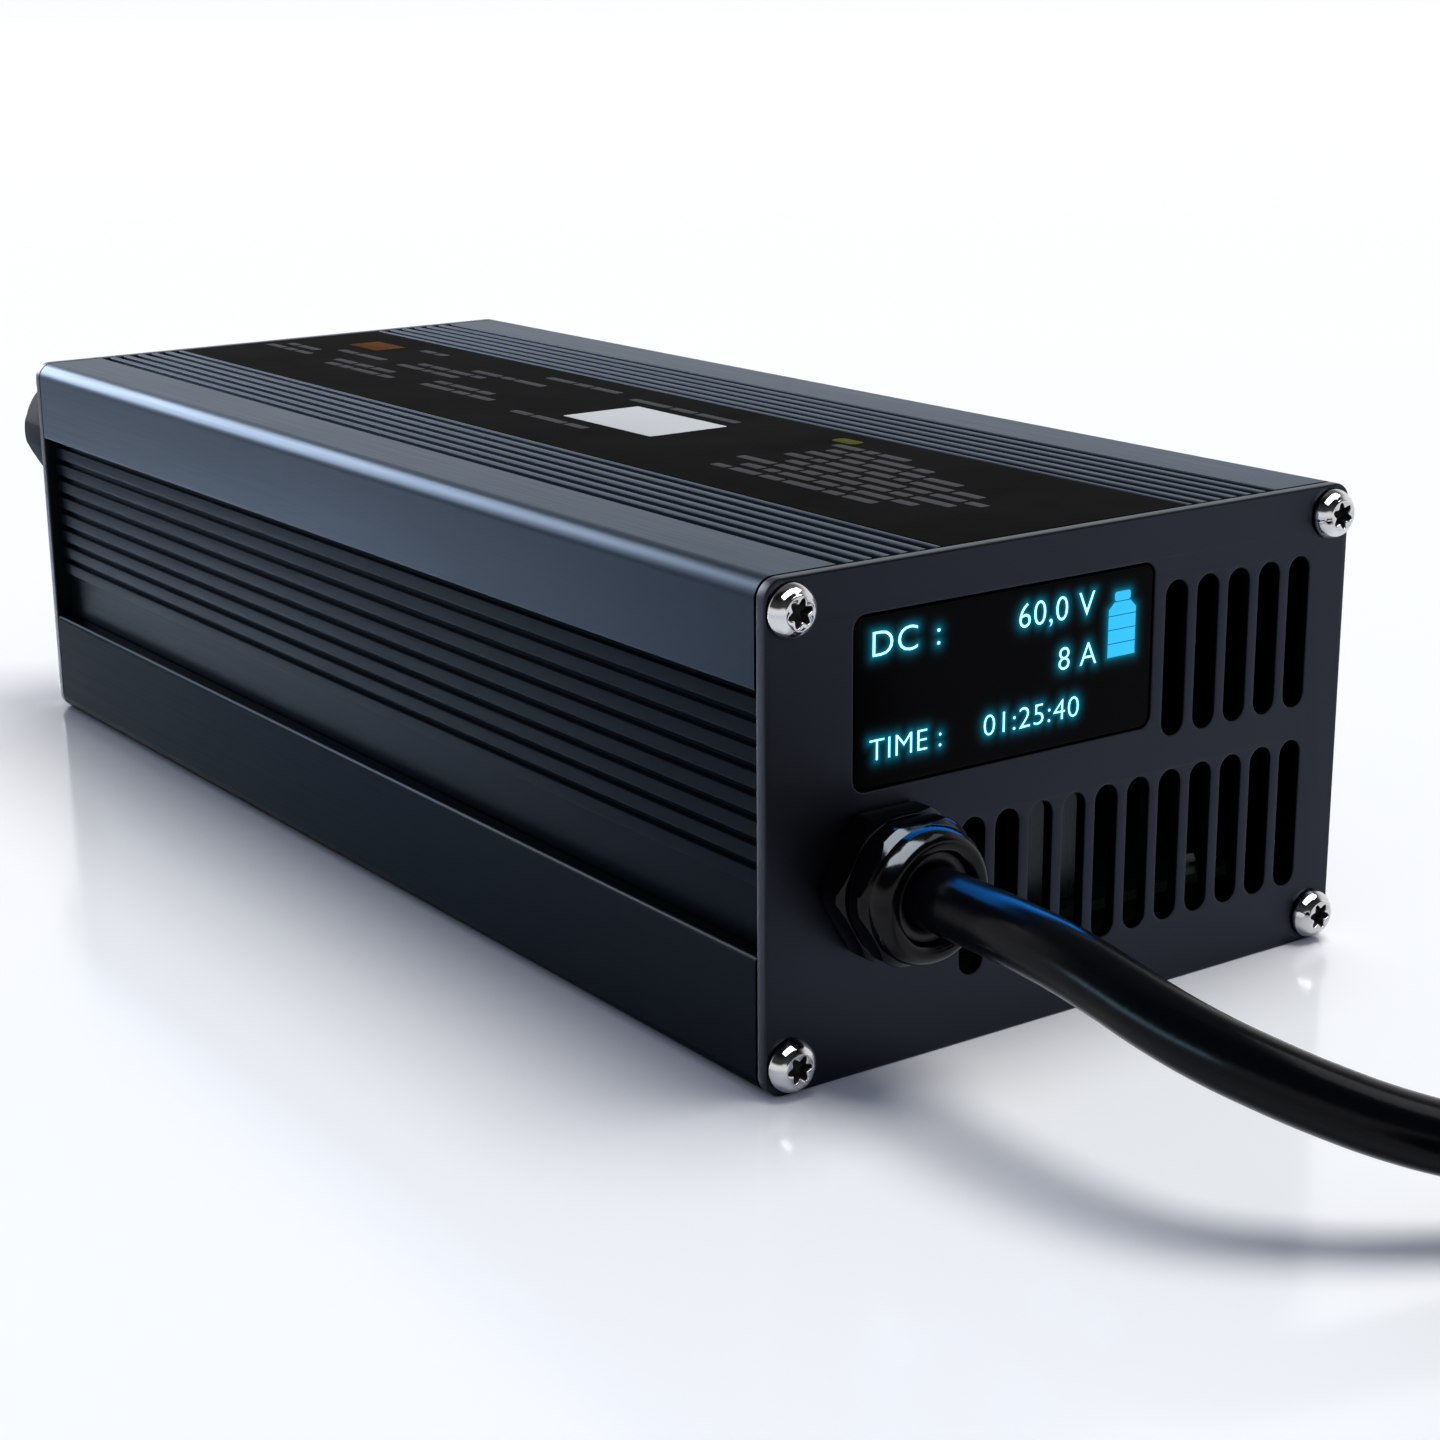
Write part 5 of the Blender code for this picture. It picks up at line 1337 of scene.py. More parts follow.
@dataclass(frozen=True)
class RoundPlug:
    """The three-pole plug that lies beside the coil."""

    radius: float = 9.3 * MM
    boot_length: float = 24.0 * MM
    shell_length: float = 42.0 * MM
    cavity: float = 16.0 * MM
    wall: float = 1.0 * MM
    pin_radius: float = 1.2 * MM
    pin_circle: float = 4.0 * MM
    pin_length: float = 10.0 * MM
    ribs: int = 5
    rib_pitch: float = 3.0
    knurls: int = 48
    knurl_depth: float = 0.14 * MM

    def boot(self, place: Point) -> bpy.types.Object:
        """The rubber strain relief.

        Args:
            place: The middle of its end that faces the cord.

        Returns:
            The boot.
        """
        profile: list[Corner] = [(0.0, 0.0, 0.0), (4.4 * MM, 0.0, 0.0), (5.6 * MM, -0.4 * MM, 0.3 * MM)]
        for rib in range(self.ribs):
            top = (-2.6 - self.rib_pitch * rib) * MM
            swell = (5.7 + 1.7 * rib / self.ribs) * MM
            rib_corners = ((0.0, 0.0, 0.25), (-0.9, -0.35, 0.2), (-0.8, -1.15, 0.2), (0.3, -1.5, 0.25))
            profile += stepped(swell, top, rib_corners)
        profile += [(7.6 * MM, -17.6 * MM, 0.3 * MM), (7.6 * MM, -23.9 * MM, 0.2 * MM), (0.0, -23.9 * MM, 0.0)]
        shape = lathe(profile, 40, closed=False)
        piece = made_piece("boot", moved(shape, Facing.REAR.matrix(place)), 40.0)
        return dressed(piece, BOOT, nodes=("plug_boot",))

    def shell(self, place: Point) -> bpy.types.Object:
        """The metal sleeve with its knurled ring and key.

        Args:
            place: The middle of the boot's end that faces the cord.

        Returns:
            The sleeve.
        """
        top = -self.boot_length - CLEARANCE
        end = top - self.shell_length
        r = self.radius
        neck = (
            (-1.6, 0.0, 0.35), (-0.3, -4.0, 0.35), (-0.3, -8.0, 0.2), (-0.9, -8.4, 0.15), (-0.9, -9.4, 0.15),
            (-0.5, -9.8, 0.15), (-0.5, -20.5, 0.15), (-0.9, -21.0, 0.15), (-0.9, -22.0, 0.15), (0.0, -22.5, 0.2),
        )
        profile: list[Corner] = [(0.0, top, 0.0), *stepped(r, top, neck), (r, end, 0.3 * MM)]
        profile += [(r - self.wall, end, 0.25 * MM), (r - self.wall, end + self.cavity, 0.0)]
        profile.append((0.0, end + self.cavity, 0.0))
        shape = lathe(profile, 56, closed=False)
        middle = top - 15.2 * MM
        foot, crest = r - 0.55 * MM, r - 0.16 * MM
        knurl = [
            (foot, middle - 5.2 * MM, 0, 0.0),
            (crest, middle - 4.8 * MM, self.knurls, self.knurl_depth),
            (crest, middle + 4.8 * MM, self.knurls, self.knurl_depth),
            (foot, middle + 5.2 * MM, 0, 0.0),
        ]
        shape = joined([shape, lofted(knurl, 4 * self.knurls)])
        piece = made_piece("sleeve", moved(shape, Facing.REAR.matrix(place)), 28.0)
        return dressed(piece, PLUG_METAL, nodes=("plug_shell",))

    def insert(self, place: Point) -> list[bpy.types.Object]:
        """The insulating insert and its three pins.

        Args:
            place: The middle of the boot's end that faces the cord.

        Returns:
            The insert and the pins.
        """
        back = -self.boot_length - CLEARANCE - self.shell_length + self.cavity - CLEARANCE
        face = back - 4.0 * MM
        edge = self.radius - self.wall - CLEARANCE
        profile: list[Corner] = [(0.0, back, 0.0), (edge, back, 0.2 * MM), (edge, face, 0.35 * MM)]
        profile += [(6.4 * MM, face, 0.15 * MM), (6.2 * MM, face + 0.5 * MM, 0.15 * MM), (0.0, face + 0.5 * MM, 0.0)]
        disc = lathe(profile, 44, closed=False)
        key = box_shape((2.4 * MM, 1.6 * MM, 3.6 * MM), (0.0, -edge + 0.9 * MM, face - 0.2 * MM), 0.2 * MM)
        disc = moved(joined([disc, key]), Facing.REAR.matrix(place))
        insert = dressed(made_piece("insert", disc, 35.0), PLUG_PLASTIC, nodes=("plug_insert",))
        pins = []
        for number in range(3):
            angle = math.radians(90.0 + 120.0 * number)
            radius, foot, tip = self.pin_radius, face + 1.0 * MM, face - self.pin_length + 0.2 * MM
            pin: list[Corner] = [(0.0, foot, 0.0), (radius, foot, 0.0), (radius, tip, 0.55 * MM), (0.0, tip, 0.0)]
            shape = moved(lathe(pin, 24, closed=False), Facing.REAR.matrix(place))
            shift = Matrix.Translation((self.pin_circle * math.cos(angle), 0.0, self.pin_circle * math.sin(angle)))
            pins.append(dressed(made_piece(f"pin_{number + 1}", moved(shape, shift)), PIN_METAL))
        return [insert, *pins]

    def build(self, end: Vector) -> list[bpy.types.Object]:
        """Makes the plug's pieces."""
        place = (end.x, end.y - CLEARANCE, end.z)
        return [self.boot(place), self.shell(place), *self.insert(place)]


# ---------------------------------------------------------------- case


@dataclass(frozen=True)
class RibbedCase:
    """The extruded upper shell and the tray that it slides into."""

    width: float = CASE_WIDTH
    height: float = CASE_HEIGHT
    corner: float = CASE_CORNER
    wall: float = 2.0 * MM
    label_width: float = 46.2 * MM
    label_recess: float = 0.8 * MM
    top_band: float = 13.6 * MM
    top_grooves: int = 6
    top_pitch: float = 3.05 * MM
    top_groove: float = 1.65 * MM
    top_depth: float = 1.0 * MM
    side_band: float = 15.0 * MM
    ribs: int = 8
    rib_pitch: float = 3.41 * MM
    rib_height: float = 2.35 * MM
    first_rib: float = 1.9 * MM
    rib_recess: float = 2.0 * MM
    groove_recess: float = 3.2 * MM
    tray: float = 20.0 * MM
    tray_wall: float = 2.2 * MM
    floor: float = 2.4 * MM
    tongue: float = 3.0 * MM
    channel_x: float = 4.0 * MM
    channel_z: float = 4.4 * MM
    channel_radius: float = 2.3 * MM
    channel_wall: float = 1.4 * MM
    soft: float = 0.28 * MM

    def channel(self, middle: Flat, start: float, facing: float, end: float) -> list[Corner]:
        """The outline of a slit screw channel, from one wall of its corner to the other.

        Args:
            middle: The channel's middle.
            start: The angle at which it leaves the first wall.
            facing: The angle of its slit.
            end: The angle at which it meets the second wall.

        Returns:
            Its corners.
        """
        outer = self.channel_radius + self.channel_wall
        turn = math.copysign(1.0, end - start)
        first = facing - turn * 15.0
        points = arc(middle, outer, start, facing - turn * 9.5, 3)
        points += arc(middle, self.channel_radius, first, first - turn * 330.0, 24)
        points += arc(middle, outer, facing + turn * 9.5, end, 3)
        return [(x, z, 0.0) for x, z in points]

    def extruded(self, half: list[Corner], node: str) -> bmesh.types.BMesh:
        """Draws a profile along the case.

        Args:
            half: The right half of the profile: X, Z and rounding.
            node: The solid whose ends it keeps.

        Returns:
            The extruded mesh.
        """
        corners = half + [(-x, z, soft) for x, z, soft in reversed(half)]
        low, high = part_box(node)
        side = self.width / 2
        shape = bmesh.new()
        verts = [shape.verts.new((x, low.y, z)) for x, z, _ in corners]
        shape.faces.new(verts)
        round_corners(shape, verts, [corner[2] for corner in corners])
        made = bmesh.ops.extrude_face_region(shape, geom=list(shape.faces))["geom"]
        moving = [part for part in made if isinstance(part, bmesh.types.BMVert)]
        bmesh.ops.translate(shape, vec=(0.0, high.y - low.y, 0.0), verts=moving)
        # Marks the recessed rib faces and groove floors below the side band for painted shade.
        layer = cleaned(shape).verts.layers.float.new("ribbed")
        for vert in shape.verts:
            sunk = side - self.groove_recess - CLEARANCE < abs(vert.co.x) < side - self.rib_recess + CLEARANCE
            vert[layer] = float(sunk and vert.co.z < self.height - self.side_band + CLEARANCE)
        return shape

    def upper(self) -> bpy.types.Object:
        """The ribbed upper shell.

        Returns:
            The shell.
        """
        side = self.width / 2
        soft = self.soft
        groove_x = side - self.groove_recess
        inner_x = groove_x - self.wall
        inner_z = self.height - self.top_depth - self.wall
        half: list[Corner] = [
            (self.label_width / 2, self.height - self.label_recess, 0.0),
            (self.label_width / 2, self.height, 0.2 * MM),
        ]
        for groove in reversed(range(self.top_grooves)):
            outer = side - self.top_band - groove * self.top_pitch
            inner = outer - self.top_groove
            bottom = self.height - self.top_depth
            half += [(inner, self.height, 0.22 * MM), (inner, bottom, 0.1 * MM)]
            half += [(outer, bottom, 0.1 * MM), (outer, self.height, 0.22 * MM)]
        half.append((side, self.height, self.corner))
        band_z = self.height - self.side_band
        half += [(side, band_z, soft), (groove_x, band_z, 0.12 * MM)]
        rib_x = side - self.rib_recess
        for rib in range(self.ribs):
            top = band_z - self.first_rib - rib * self.rib_pitch
            bottom = top - self.rib_height
            half += [(groove_x, top, 0.12 * MM), (rib_x, top, soft)]
            half += [(rib_x, bottom, soft), (groove_x, bottom, 0.12 * MM)]
        tongue_z = self.tray - self.tongue
        half += [(groove_x, tongue_z, 0.0), (inner_x, tongue_z, 0.0)]
        middle = (side - self.channel_x, self.height - self.channel_z)
        ring_radius = self.channel_radius + self.channel_wall
        start = 180.0 + math.degrees(math.acos((middle[0] - inner_x) / ring_radius))
        end = 180.0 - math.degrees(math.asin((inner_z - middle[1]) / ring_radius))
        half += self.channel(middle, start, 225.0, end)
        half.append((self.label_width / 2, inner_z, 0.0))
        piece = made_piece("case_upper", self.extruded(half, "upper_shell"), 40.0, True)
        return dressed(piece, CASE, nodes=("upper_shell",))

    def lower(self) -> bpy.types.Object:
        """The tray, with the groove that holds the upper shell.

        Returns:
            The tray.
        """
        side = self.width / 2
        wall_x = side - self.tray_wall
        outer = side - self.groove_recess + CLEARANCE
        inner = side - self.groove_recess - self.wall - CLEARANCE
        lip = inner - 1.6 * MM
        groove_z = self.tray - self.tongue - CLEARANCE
        bed_z = groove_z - 2.2 * MM
        half: list[Corner] = [
            (side, 0.0, self.corner),
            (side, self.tray, 0.7 * MM),
            (outer, self.tray, 0.2 * MM),
            (outer, groove_z, 0.0),
            (inner, groove_z, 0.0),
            (inner, self.tray + 1.5 * MM, 0.2 * MM),
            (lip, self.tray + 1.5 * MM, 0.2 * MM),
            (lip, bed_z, 0.0),
            (wall_x, bed_z - (wall_x - lip), 0.0),
        ]
        middle = (side - self.channel_x, self.channel_z)
        ring_radius = self.channel_radius + self.channel_wall
        start = math.degrees(math.acos((wall_x - middle[0]) / ring_radius))
        end = 180.0 + math.degrees(math.asin((self.channel_z - self.floor) / ring_radius))
        half += self.channel(middle, start, 135.0, end)
        piece = made_piece("case_lower", self.extruded(half, "lower_shell"), 40.0, True)
        return dressed(piece, TRAY, nodes=("lower_shell",))

    def build(self) -> list[bpy.types.Object]:
        """Makes both shells."""
        return [self.upper(), self.lower()]


@dataclass(frozen=True)
class EndPlates:
    """The two end plates with their cut-outs, slots and holes."""

    soft: float = 0.32 * MM
    slot_width: float = 4.3 * MM
    slot_pitch: float = 6.3 * MM
    slot_length: float = 23.2 * MM
    last_slot: float = 44.5 * MM
    upper_slots: int = 5
    lower_slots: int = 11
    upper_slot_z: float = 50.2 * MM
    lower_slot_z: float = 21.7 * MM
    gland_hole: float = 8.3 * MM
    screw_hole: float = 2.3 * MM
    grille_radius: float = 21.5 * MM
    grille_columns: int = 7
    grille_bar: float = 5.0 * MM
    window_corner: float = 2.0 * MM
    screw_x: float = 50.5 * MM
    screw_z: Flat = (67.6 * MM, 4.4 * MM)
    fan_screw: float = 20.0 * MM
    fan_screw_hole: float = 2.1 * MM

    def edge(self) -> list[Flat]:
        """The outline that both plates share."""
        return rounded_rectangle((0.0, CASE_HEIGHT / 2), CASE_WIDTH, CASE_HEIGHT, CASE_CORNER, 10)

    def screw_holes(self) -> list[list[Flat]]:
        """The holes of the four end screws."""
        places = [(side * self.screw_x, z) for z in self.screw_z for side in (-1, 1)]
        return [circle(place, self.screw_hole, 28) for place in places]

    def slots(self) -> list[list[Flat]]:
        """The two rows of slots.

        Returns:
            Their outlines.
        """
        rows = ((self.upper_slots, self.upper_slot_z), (self.lower_slots, self.lower_slot_z))
        return [
            slot_outline((self.last_slot - column * self.slot_pitch, z), self.slot_width, self.slot_length)
            for count, z in rows
            for column in range(count)
        ]

    def grille(self) -> list[list[Flat]]:
        """The slots in front of the fan.

        Returns:
            Their outlines.
        """
        outlines = []
        for column in range(self.grille_columns):
            offset = (column - (self.grille_columns - 1) / 2) * self.slot_pitch
            length = math.sqrt(self.grille_radius**2 - offset**2) - self.grille_bar / 2
            for side in (-1, 1):
                place = (FAN_AXIS[0] + offset, FAN_AXIS[1] + side * (self.grille_bar / 2 + length / 2))
                outlines.append(slot_outline(place, self.slot_width, length, 10))
        return outlines

    def plate(self, name: str, node: str, y: float, holes: list[list[Flat]]) -> bpy.types.Object:
        """Makes one plate."""
        shape = moved(sheet([self.edge(), *holes], PLATE_THICKNESS, self.soft), Facing.FRONT.matrix((0.0, y, 0.0)))
        return dressed(made_piece(name, shape, 40.0, True), PLATE, nodes=(node,))

    def front(self) -> bpy.types.Object:
        """The front plate.

        Returns:
            The plate.
        """
        width, height = (high - low for low, high in zip(WINDOW_LOW, WINDOW_HIGH))
        window = rounded_rectangle(middle_of(WINDOW_LOW, WINDOW_HIGH), width, height, self.window_corner)
        holes = [window, circle(FRONT_GLAND, self.gland_hole, 48), *self.screw_holes(), *self.slots()]
        return self.plate("plate_front", "front_plate", FRONT_FACE + PLATE_THICKNESS / 2, holes)

    def rear(self) -> bpy.types.Object:
        """The rear plate.

        Returns:
            The plate.
        """
        reach = self.fan_screw
        places = [(FAN_AXIS[0] + side * reach, FAN_AXIS[1] + rise * reach) for rise in (1, -1) for side in (-1, 1)]
        holes = [circle(REAR_GLAND, self.gland_hole, 48), *self.screw_holes()]
        holes += [circle(place, self.fan_screw_hole, 24) for place in places] + self.grille()
        return self.plate("plate_rear", "rear_plate", REAR_FACE - PLATE_THICKNESS / 2, holes)

    def build(self) -> list[bpy.types.Object]:
        """Makes both plates."""
        return [self.front(), self.rear()]


class Drive(Enum):
    """The recess of a screw head: its lobes and how far they swell."""

    SIX_LOBE = (6, 0.25)
    CROSS = (4, 0.34)


@dataclass(frozen=True)
class ButtonScrews:
    """A set of domed screws with a raised rim round the recess."""

    nodes: tuple[str, ...]
    facing: Facing
    drive: Drive
    radius: float
    height: float
    shank: float
    length: float
    turns: tuple[float, ...]

    def head(self) -> bmesh.types.BMesh:
        """One screw, upright, with its head over Z zero.

        Returns:
            Its mesh.
        """
        lobes, swell = self.drive.value
        r, h = self.radius, self.height
        socket = 0.43 * r
        lobed = ((0.94, 0.22, 0.9), (1.0, 0.91, 1.0), (1.03, 0.96, 0.95), (1.10, 0.99, 0.8))
        lip = ((1.38, 1.0), (1.46, 0.985), (1.52, 0.94), (1.58, 0.905))
        dome = ((0.76, 0.82), (0.83, 0.70), (0.90, 0.53), (0.955, 0.34), (0.99, 0.16), (1.0, 0.07), (0.985, 0.0))
        rings = [(0.20 * r, h * 0.10, 0, 0.0)]
        rings += [(socket * reach, h * rise, lobes, swell * socket * share) for reach, rise, share in lobed]
        rings += [(socket * reach, h * rise, 0, 0.0) for reach, rise in lip]
        rings += [(r * reach, h * rise, 0, 0.0) for reach, rise in dome]
        rings += [(self.shank, 0.0, 0, 0.0), (self.shank, -self.length, 0, 0.0)]
        shape = lofted(rings, 72)
        # painted shade: marks the socket, where the steel turns dark
        recess = shape.verts.layers.float.new("recess")
        for vert in shape.verts:
            inside = 0.0 < vert.co.z < 0.94 * h and vert.co.xy.length < 1.3 * socket
            vert[recess] = float(inside)
        return shape

    def build(self) -> list[bpy.types.Object]:
        """Makes the screws where their solids are.

        Returns:
            The screws.
        """
        pieces = []
        for node, turn in zip(self.nodes, self.turns):
            low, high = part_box(node)
            seat = low.y + self.height if self.facing is Facing.FRONT else high.y - self.height
            place = ((low.x + high.x) / 2, seat, (low.z + high.z) / 2)
            shape = moved(self.head(), self.facing.matrix(place, math.radians(turn)))
            pieces.append(dressed(made_piece(f"{node}_polished", shape, 42.0), STEEL, nodes=(node,)))
        return pieces


# ---------------------------------------------------------------- display


@dataclass(frozen=True)
class Display:
    """The dark glass, the lit figures on it and the light round them."""

    left: float = WINDOW_LOW[0]
    right: float = WINDOW_HIGH[0]
    bottom: float = WINDOW_LOW[1]
    top: float = WINDOW_HIGH[1]
    corner: float = 1.7 * MM
    flange: float = 1.2 * MM
    lines: tuple[tuple[str, float, float, float, float], ...] = (
        ("DC", 17.9, 59.1, 3.6, 1.12),
        (":", 29.0, 59.1, 3.6, 1.1),
        ("60,0 V", 43.7, 59.1, 3.6, 1.02),
        ("8 A", 51.2, 51.9, 3.4, 1.02),
        ("TIME :", 17.5, 44.7, 3.1, 1.05),
        ("01:25:40", 37.6, 44.7, 3.1, 1.12),
    )
    thinning: float = 0.075 * MM
    cell_box: tuple[float, float, float, float] = (60.5, 65.7, 52.2, 61.8)
    cell_bars: int = 4
    cell_slope: float = 1.05
    glow_step: float = 0.24 * MM
    glow_margin: float = 0.75 * MM
    near_glow: Flat = (0.46, 0.34)
    far_glow: Flat = (0.10, 1.1)

    def glass(self) -> bpy.types.Object:
        """The glass, whose flange lies behind the plate.

        Returns:
            The glass.
        """
        low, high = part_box("display_window")
        x, z = middle_of(WINDOW_LOW, WINDOW_HIGH)
        wide = self.right - self.left - 2 * CLEARANCE
        tall = self.top - self.bottom - 2 * CLEARANCE
        boss = sheet([rounded_rectangle((0.0, 0.0), wide, tall, self.corner)], high.y - low.y, 0.12 * MM)
        boss = moved(boss, Facing.FRONT.matrix((x, (low.y + high.y) / 2, z)))
        size = (high.x - low.x, self.flange, high.z - low.z)
        back = box_shape(size, ((low.x + high.x) / 2, high.y - self.flange / 2, (low.z + high.z) / 2), 0.2 * MM)
        return dressed(made_piece("glass", joined([boss, back]), 40.0, True), GLASS, nodes=("display_window",))

    def words(self, body: str, left: float, base: float, cap: float, stretch: float) -> bmesh.types.BMesh:
        """A line of figures as a flat mesh on the glass.

        Args:
            body: What it says.
            left: Its left edge from the plate's left edge, in millimetres.
            base: The height of its base line, in millimetres.
            cap: The height of its capitals, in millimetres.
            stretch: Its width against the font's own.

        Returns:
            The mesh.
        """
        curve = bpy.data.curves.new("words", "FONT")
        curve.body = body
        curve.size = cap * MM / 0.7
        curve.resolution_u = 4
        curve.space_character = 1.06
        curve.extrude = 0.01 * MM
        curve.offset = -self.thinning
        shape = from_curve(curve)
        first = min(vert.co.x for vert in shape.verts)
        bmesh.ops.translate(shape, vec=(-first, 0.0, 0.0), verts=shape.verts)
        bmesh.ops.scale(shape, vec=(stretch, 1.0, 1.0), verts=shape.verts)
        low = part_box("display_window")[0]
        place = (left * MM - CASE_WIDTH / 2, low.y - 0.09 * MM, base * MM)
        return moved(shape, Facing.FRONT.matrix(place))

    def cell(self) -> bmesh.types.BMesh:
        """The battery symbol: a full cell in bars, the last with sloping shoulders, and its cap.

        Returns:
            Its mesh.
        """
        left, right, low, high = self.cell_box
        shapes = []
        step = (high - 1.5 - low) / self.cell_bars
        for bar in range(self.cell_bars):
            base = low + bar * step + 0.07
            top = base + step - 0.14
            outline = [(left, base), (right, base), (right, top), (left, top)]
            if bar == self.cell_bars - 1:
                slope = self.cell_slope
                outline[2:] = [(right, top - slope), (right - slope, top), (left + slope, top), (left, top - slope)]
            shapes.append(sheet([[(x * MM, z * MM) for x, z in outline]], 0.04 * MM, 0.005 * MM))
        middle = ((left + right) / 2 * MM, (high - 0.75) * MM)
        cap = rounded_rectangle(middle, (right - left - 2.2) * MM, 1.36 * MM, 0.4 * MM, 4)
        shapes.append(sheet([cap], 0.04 * MM, 0.005 * MM))
        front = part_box("display_window")[0].y
        return moved(joined(shapes), Facing.FRONT.matrix((-CASE_WIDTH / 2, front - 0.08 * MM, 0.0)))

    def glow(self, lights: list[bpy.types.Object]) -> bpy.types.Object:
        """A thin sheet on the glass that carries the light round the figures.

        Args:
            lights: The lit pieces.

        Returns:
            The sheet.
        """
        trees = []
        for light in lights:
            shape = bmesh.new()
            shape.from_mesh(light.data)
            trees.append(BVHTree.FromBMesh(shape))
            shape.free()
        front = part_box("display_window")[0].y
        margin = self.glow_margin
        wide = self.right - self.left - 2 * margin
        tall = self.top - self.bottom - 2 * margin
        columns, rows = round(wide / self.glow_step), round(tall / self.glow_step)
        shape = bmesh.new()
        bmesh.ops.create_grid(shape, x_segments=columns, y_segments=rows, size=0.5)
        bmesh.ops.scale(shape, vec=(wide, tall, 1.0), verts=shape.verts)
        x, z = middle_of(WINDOW_LOW, WINDOW_HIGH)
        moved(shape, Facing.FRONT.matrix((x, front - 0.04 * MM, z)))
        layer = shape.verts.layers.float.new("glow")
        for vert in shape.verts:
            gap = min(tree.find_nearest(vert.co)[3] for tree in trees) / MM
            light = self.near_glow[0] * math.exp(-((gap / self.near_glow[1]) ** 1.2))
            light += self.far_glow[0] * math.exp(-((gap / self.far_glow[1]) ** 2))
            edge = min(vert.co.x - self.left, self.right - vert.co.x, vert.co.z - self.bottom, self.top - vert.co.z)
            vert[layer] = light * held((edge - margin) / (1.2 * MM))
        return dressed(made_piece("glow", shape, 60.0), GLOW)

    def build(self) -> list[bpy.types.Object]:
        """Makes the glass, the figures and their light.

        Returns:
            The pieces.
        """
        words = joined([self.words(*line) for line in self.lines])
        figures = dressed(made_piece("figures", words, 60.0), FIGURES)
        battery = dressed(made_piece("battery_sign", self.cell(), 60.0), BATTERY)
        return [self.glass(), figures, battery, self.glow([figures, battery])]


@dataclass(frozen=True)
class TopLabel:
    """The black film along the top, with plain fields of print.

    A field has its ink and its edges, a row its left edge, its ends and the lengths of its bars, in millimetres from
    the case's left side and from the front plate.
    """

    soft: float = 0.16 * MM
    lift: float = 0.03 * MM
    row: float = 1.9
    gap: float = 0.9
    fields: tuple[tuple[str, float, float, float, float], ...] = (
        ("warm", 62.5, 69.5, 219.0, 231.0),
        ("pale", 48.9, 64.8, 98.2, 125.6),
        ("green", 70.2, 73.2, 71.0, 77.0),
    )
    rows: tuple[tuple[float, float, float, tuple[float, ...]], ...] = (
        (42.0, 31.0, 76.0, (7.0, 4.0, 9.0, 5.0)),
        (45.6, 26.0, 75.0, (5.0, 8.0, 3.0)),
        (49.2, 22.0, 76.0, (9.0, 4.0, 6.0)),
        (52.8, 19.0, 74.0, (4.0, 7.0, 5.0, 10.0)),
        (56.4, 24.0, 77.0, (6.0, 9.0, 3.0)),
        (60.0, 33.0, 75.0, (8.0, 5.0)),
        (63.6, 44.0, 77.0, (4.0, 9.0, 6.0)),
        (67.2, 54.0, 74.0, (7.0, 3.0)),
        (67.4, 100.0, 136.0, (12.0, 7.0)),
        (44.0, 112.0, 138.0, (6.0, 10.0)),
        (69.5, 140.0, 166.0, (9.0, 5.0)),
        (47.0, 148.0, 180.0, (8.0, 5.0, 11.0)),
        (50.6, 154.0, 176.0, (5.0, 9.0)),
        (63.0, 156.0, 182.0, (10.0, 4.0)),
        (59.4, 172.0, 202.0, (4.0, 8.0, 6.0)),
        (55.8, 176.0, 200.0, (9.0, 3.0)),
        (46.0, 184.0, 216.0, (5.0, 10.0, 4.0)),
        (49.6, 190.0, 214.0, (8.0, 6.0)),
        (69.0, 203.0, 214.0, (4.0, 5.0)),
        (56.4, 206.0, 226.0, (11.0, 7.0)),
        (49.0, 224.0, 243.0, (6.0, 4.0, 7.0)),
        (52.8, 228.0, 243.0, (8.0, 4.0)),
    )

    def bars(self) -> list[tuple[str, float, float, float, float]]:
        """The rows of grey print, each broken into short bars.

        Returns:
            The ink and the edges of each bar.
        """
        found = []
        for left, near, far, lengths in self.rows:
            edge, turn = near, 0
            while edge + lengths[turn % len(lengths)] <= far:
                length = lengths[turn % len(lengths)]
                found.append(("grey", left, left + self.row, edge, edge + length))
                edge += length + self.gap
                turn += 1
        return found

    def build(self) -> list[bpy.types.Object]:
        """Makes the film and the print on it.

        Returns:
            The pieces.
        """
        low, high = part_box("top_label")
        top = high.z - self.lift
        size = (high.x - low.x, high.y - low.y, top - low.z)
        place = ((low.x + high.x) / 2, (low.y + high.y) / 2, (low.z + top) / 2)
        film = made_piece("film", box_shape(size, place, self.soft, 3), 40.0, True)
        pieces = [dressed(film, LABEL, nodes=("top_label",))]
        inks = {"grey": PRINT_GREY, "pale": PRINT_PALE, "warm": PRINT_WARM, "green": PRINT_GREEN}
        for ink, finish in inks.items():
            shapes = []
            for name, left, right, near, far in (*self.fields, *self.bars()):
                if name == ink:
                    middle = ((left + right) / 2 * MM, (near + far) / 2 * MM)
                    radius = 0.4 * MM if ink != "green" else 1.2 * MM
                    outline = rounded_rectangle(middle, (right - left) * MM, (far - near) * MM, radius, 4)
                    shapes.append(sheet([outline], 0.02 * MM, 0.004 * MM))
            shape = moved(joined(shapes), Matrix.Translation((-CASE_WIDTH / 2, FRONT_FACE, top + 0.015 * MM)))
            pieces.append(dressed(made_piece(f"print_{ink}", shape, 60.0), finish))
        return pieces


# ---------------------------------------------------------------- glands


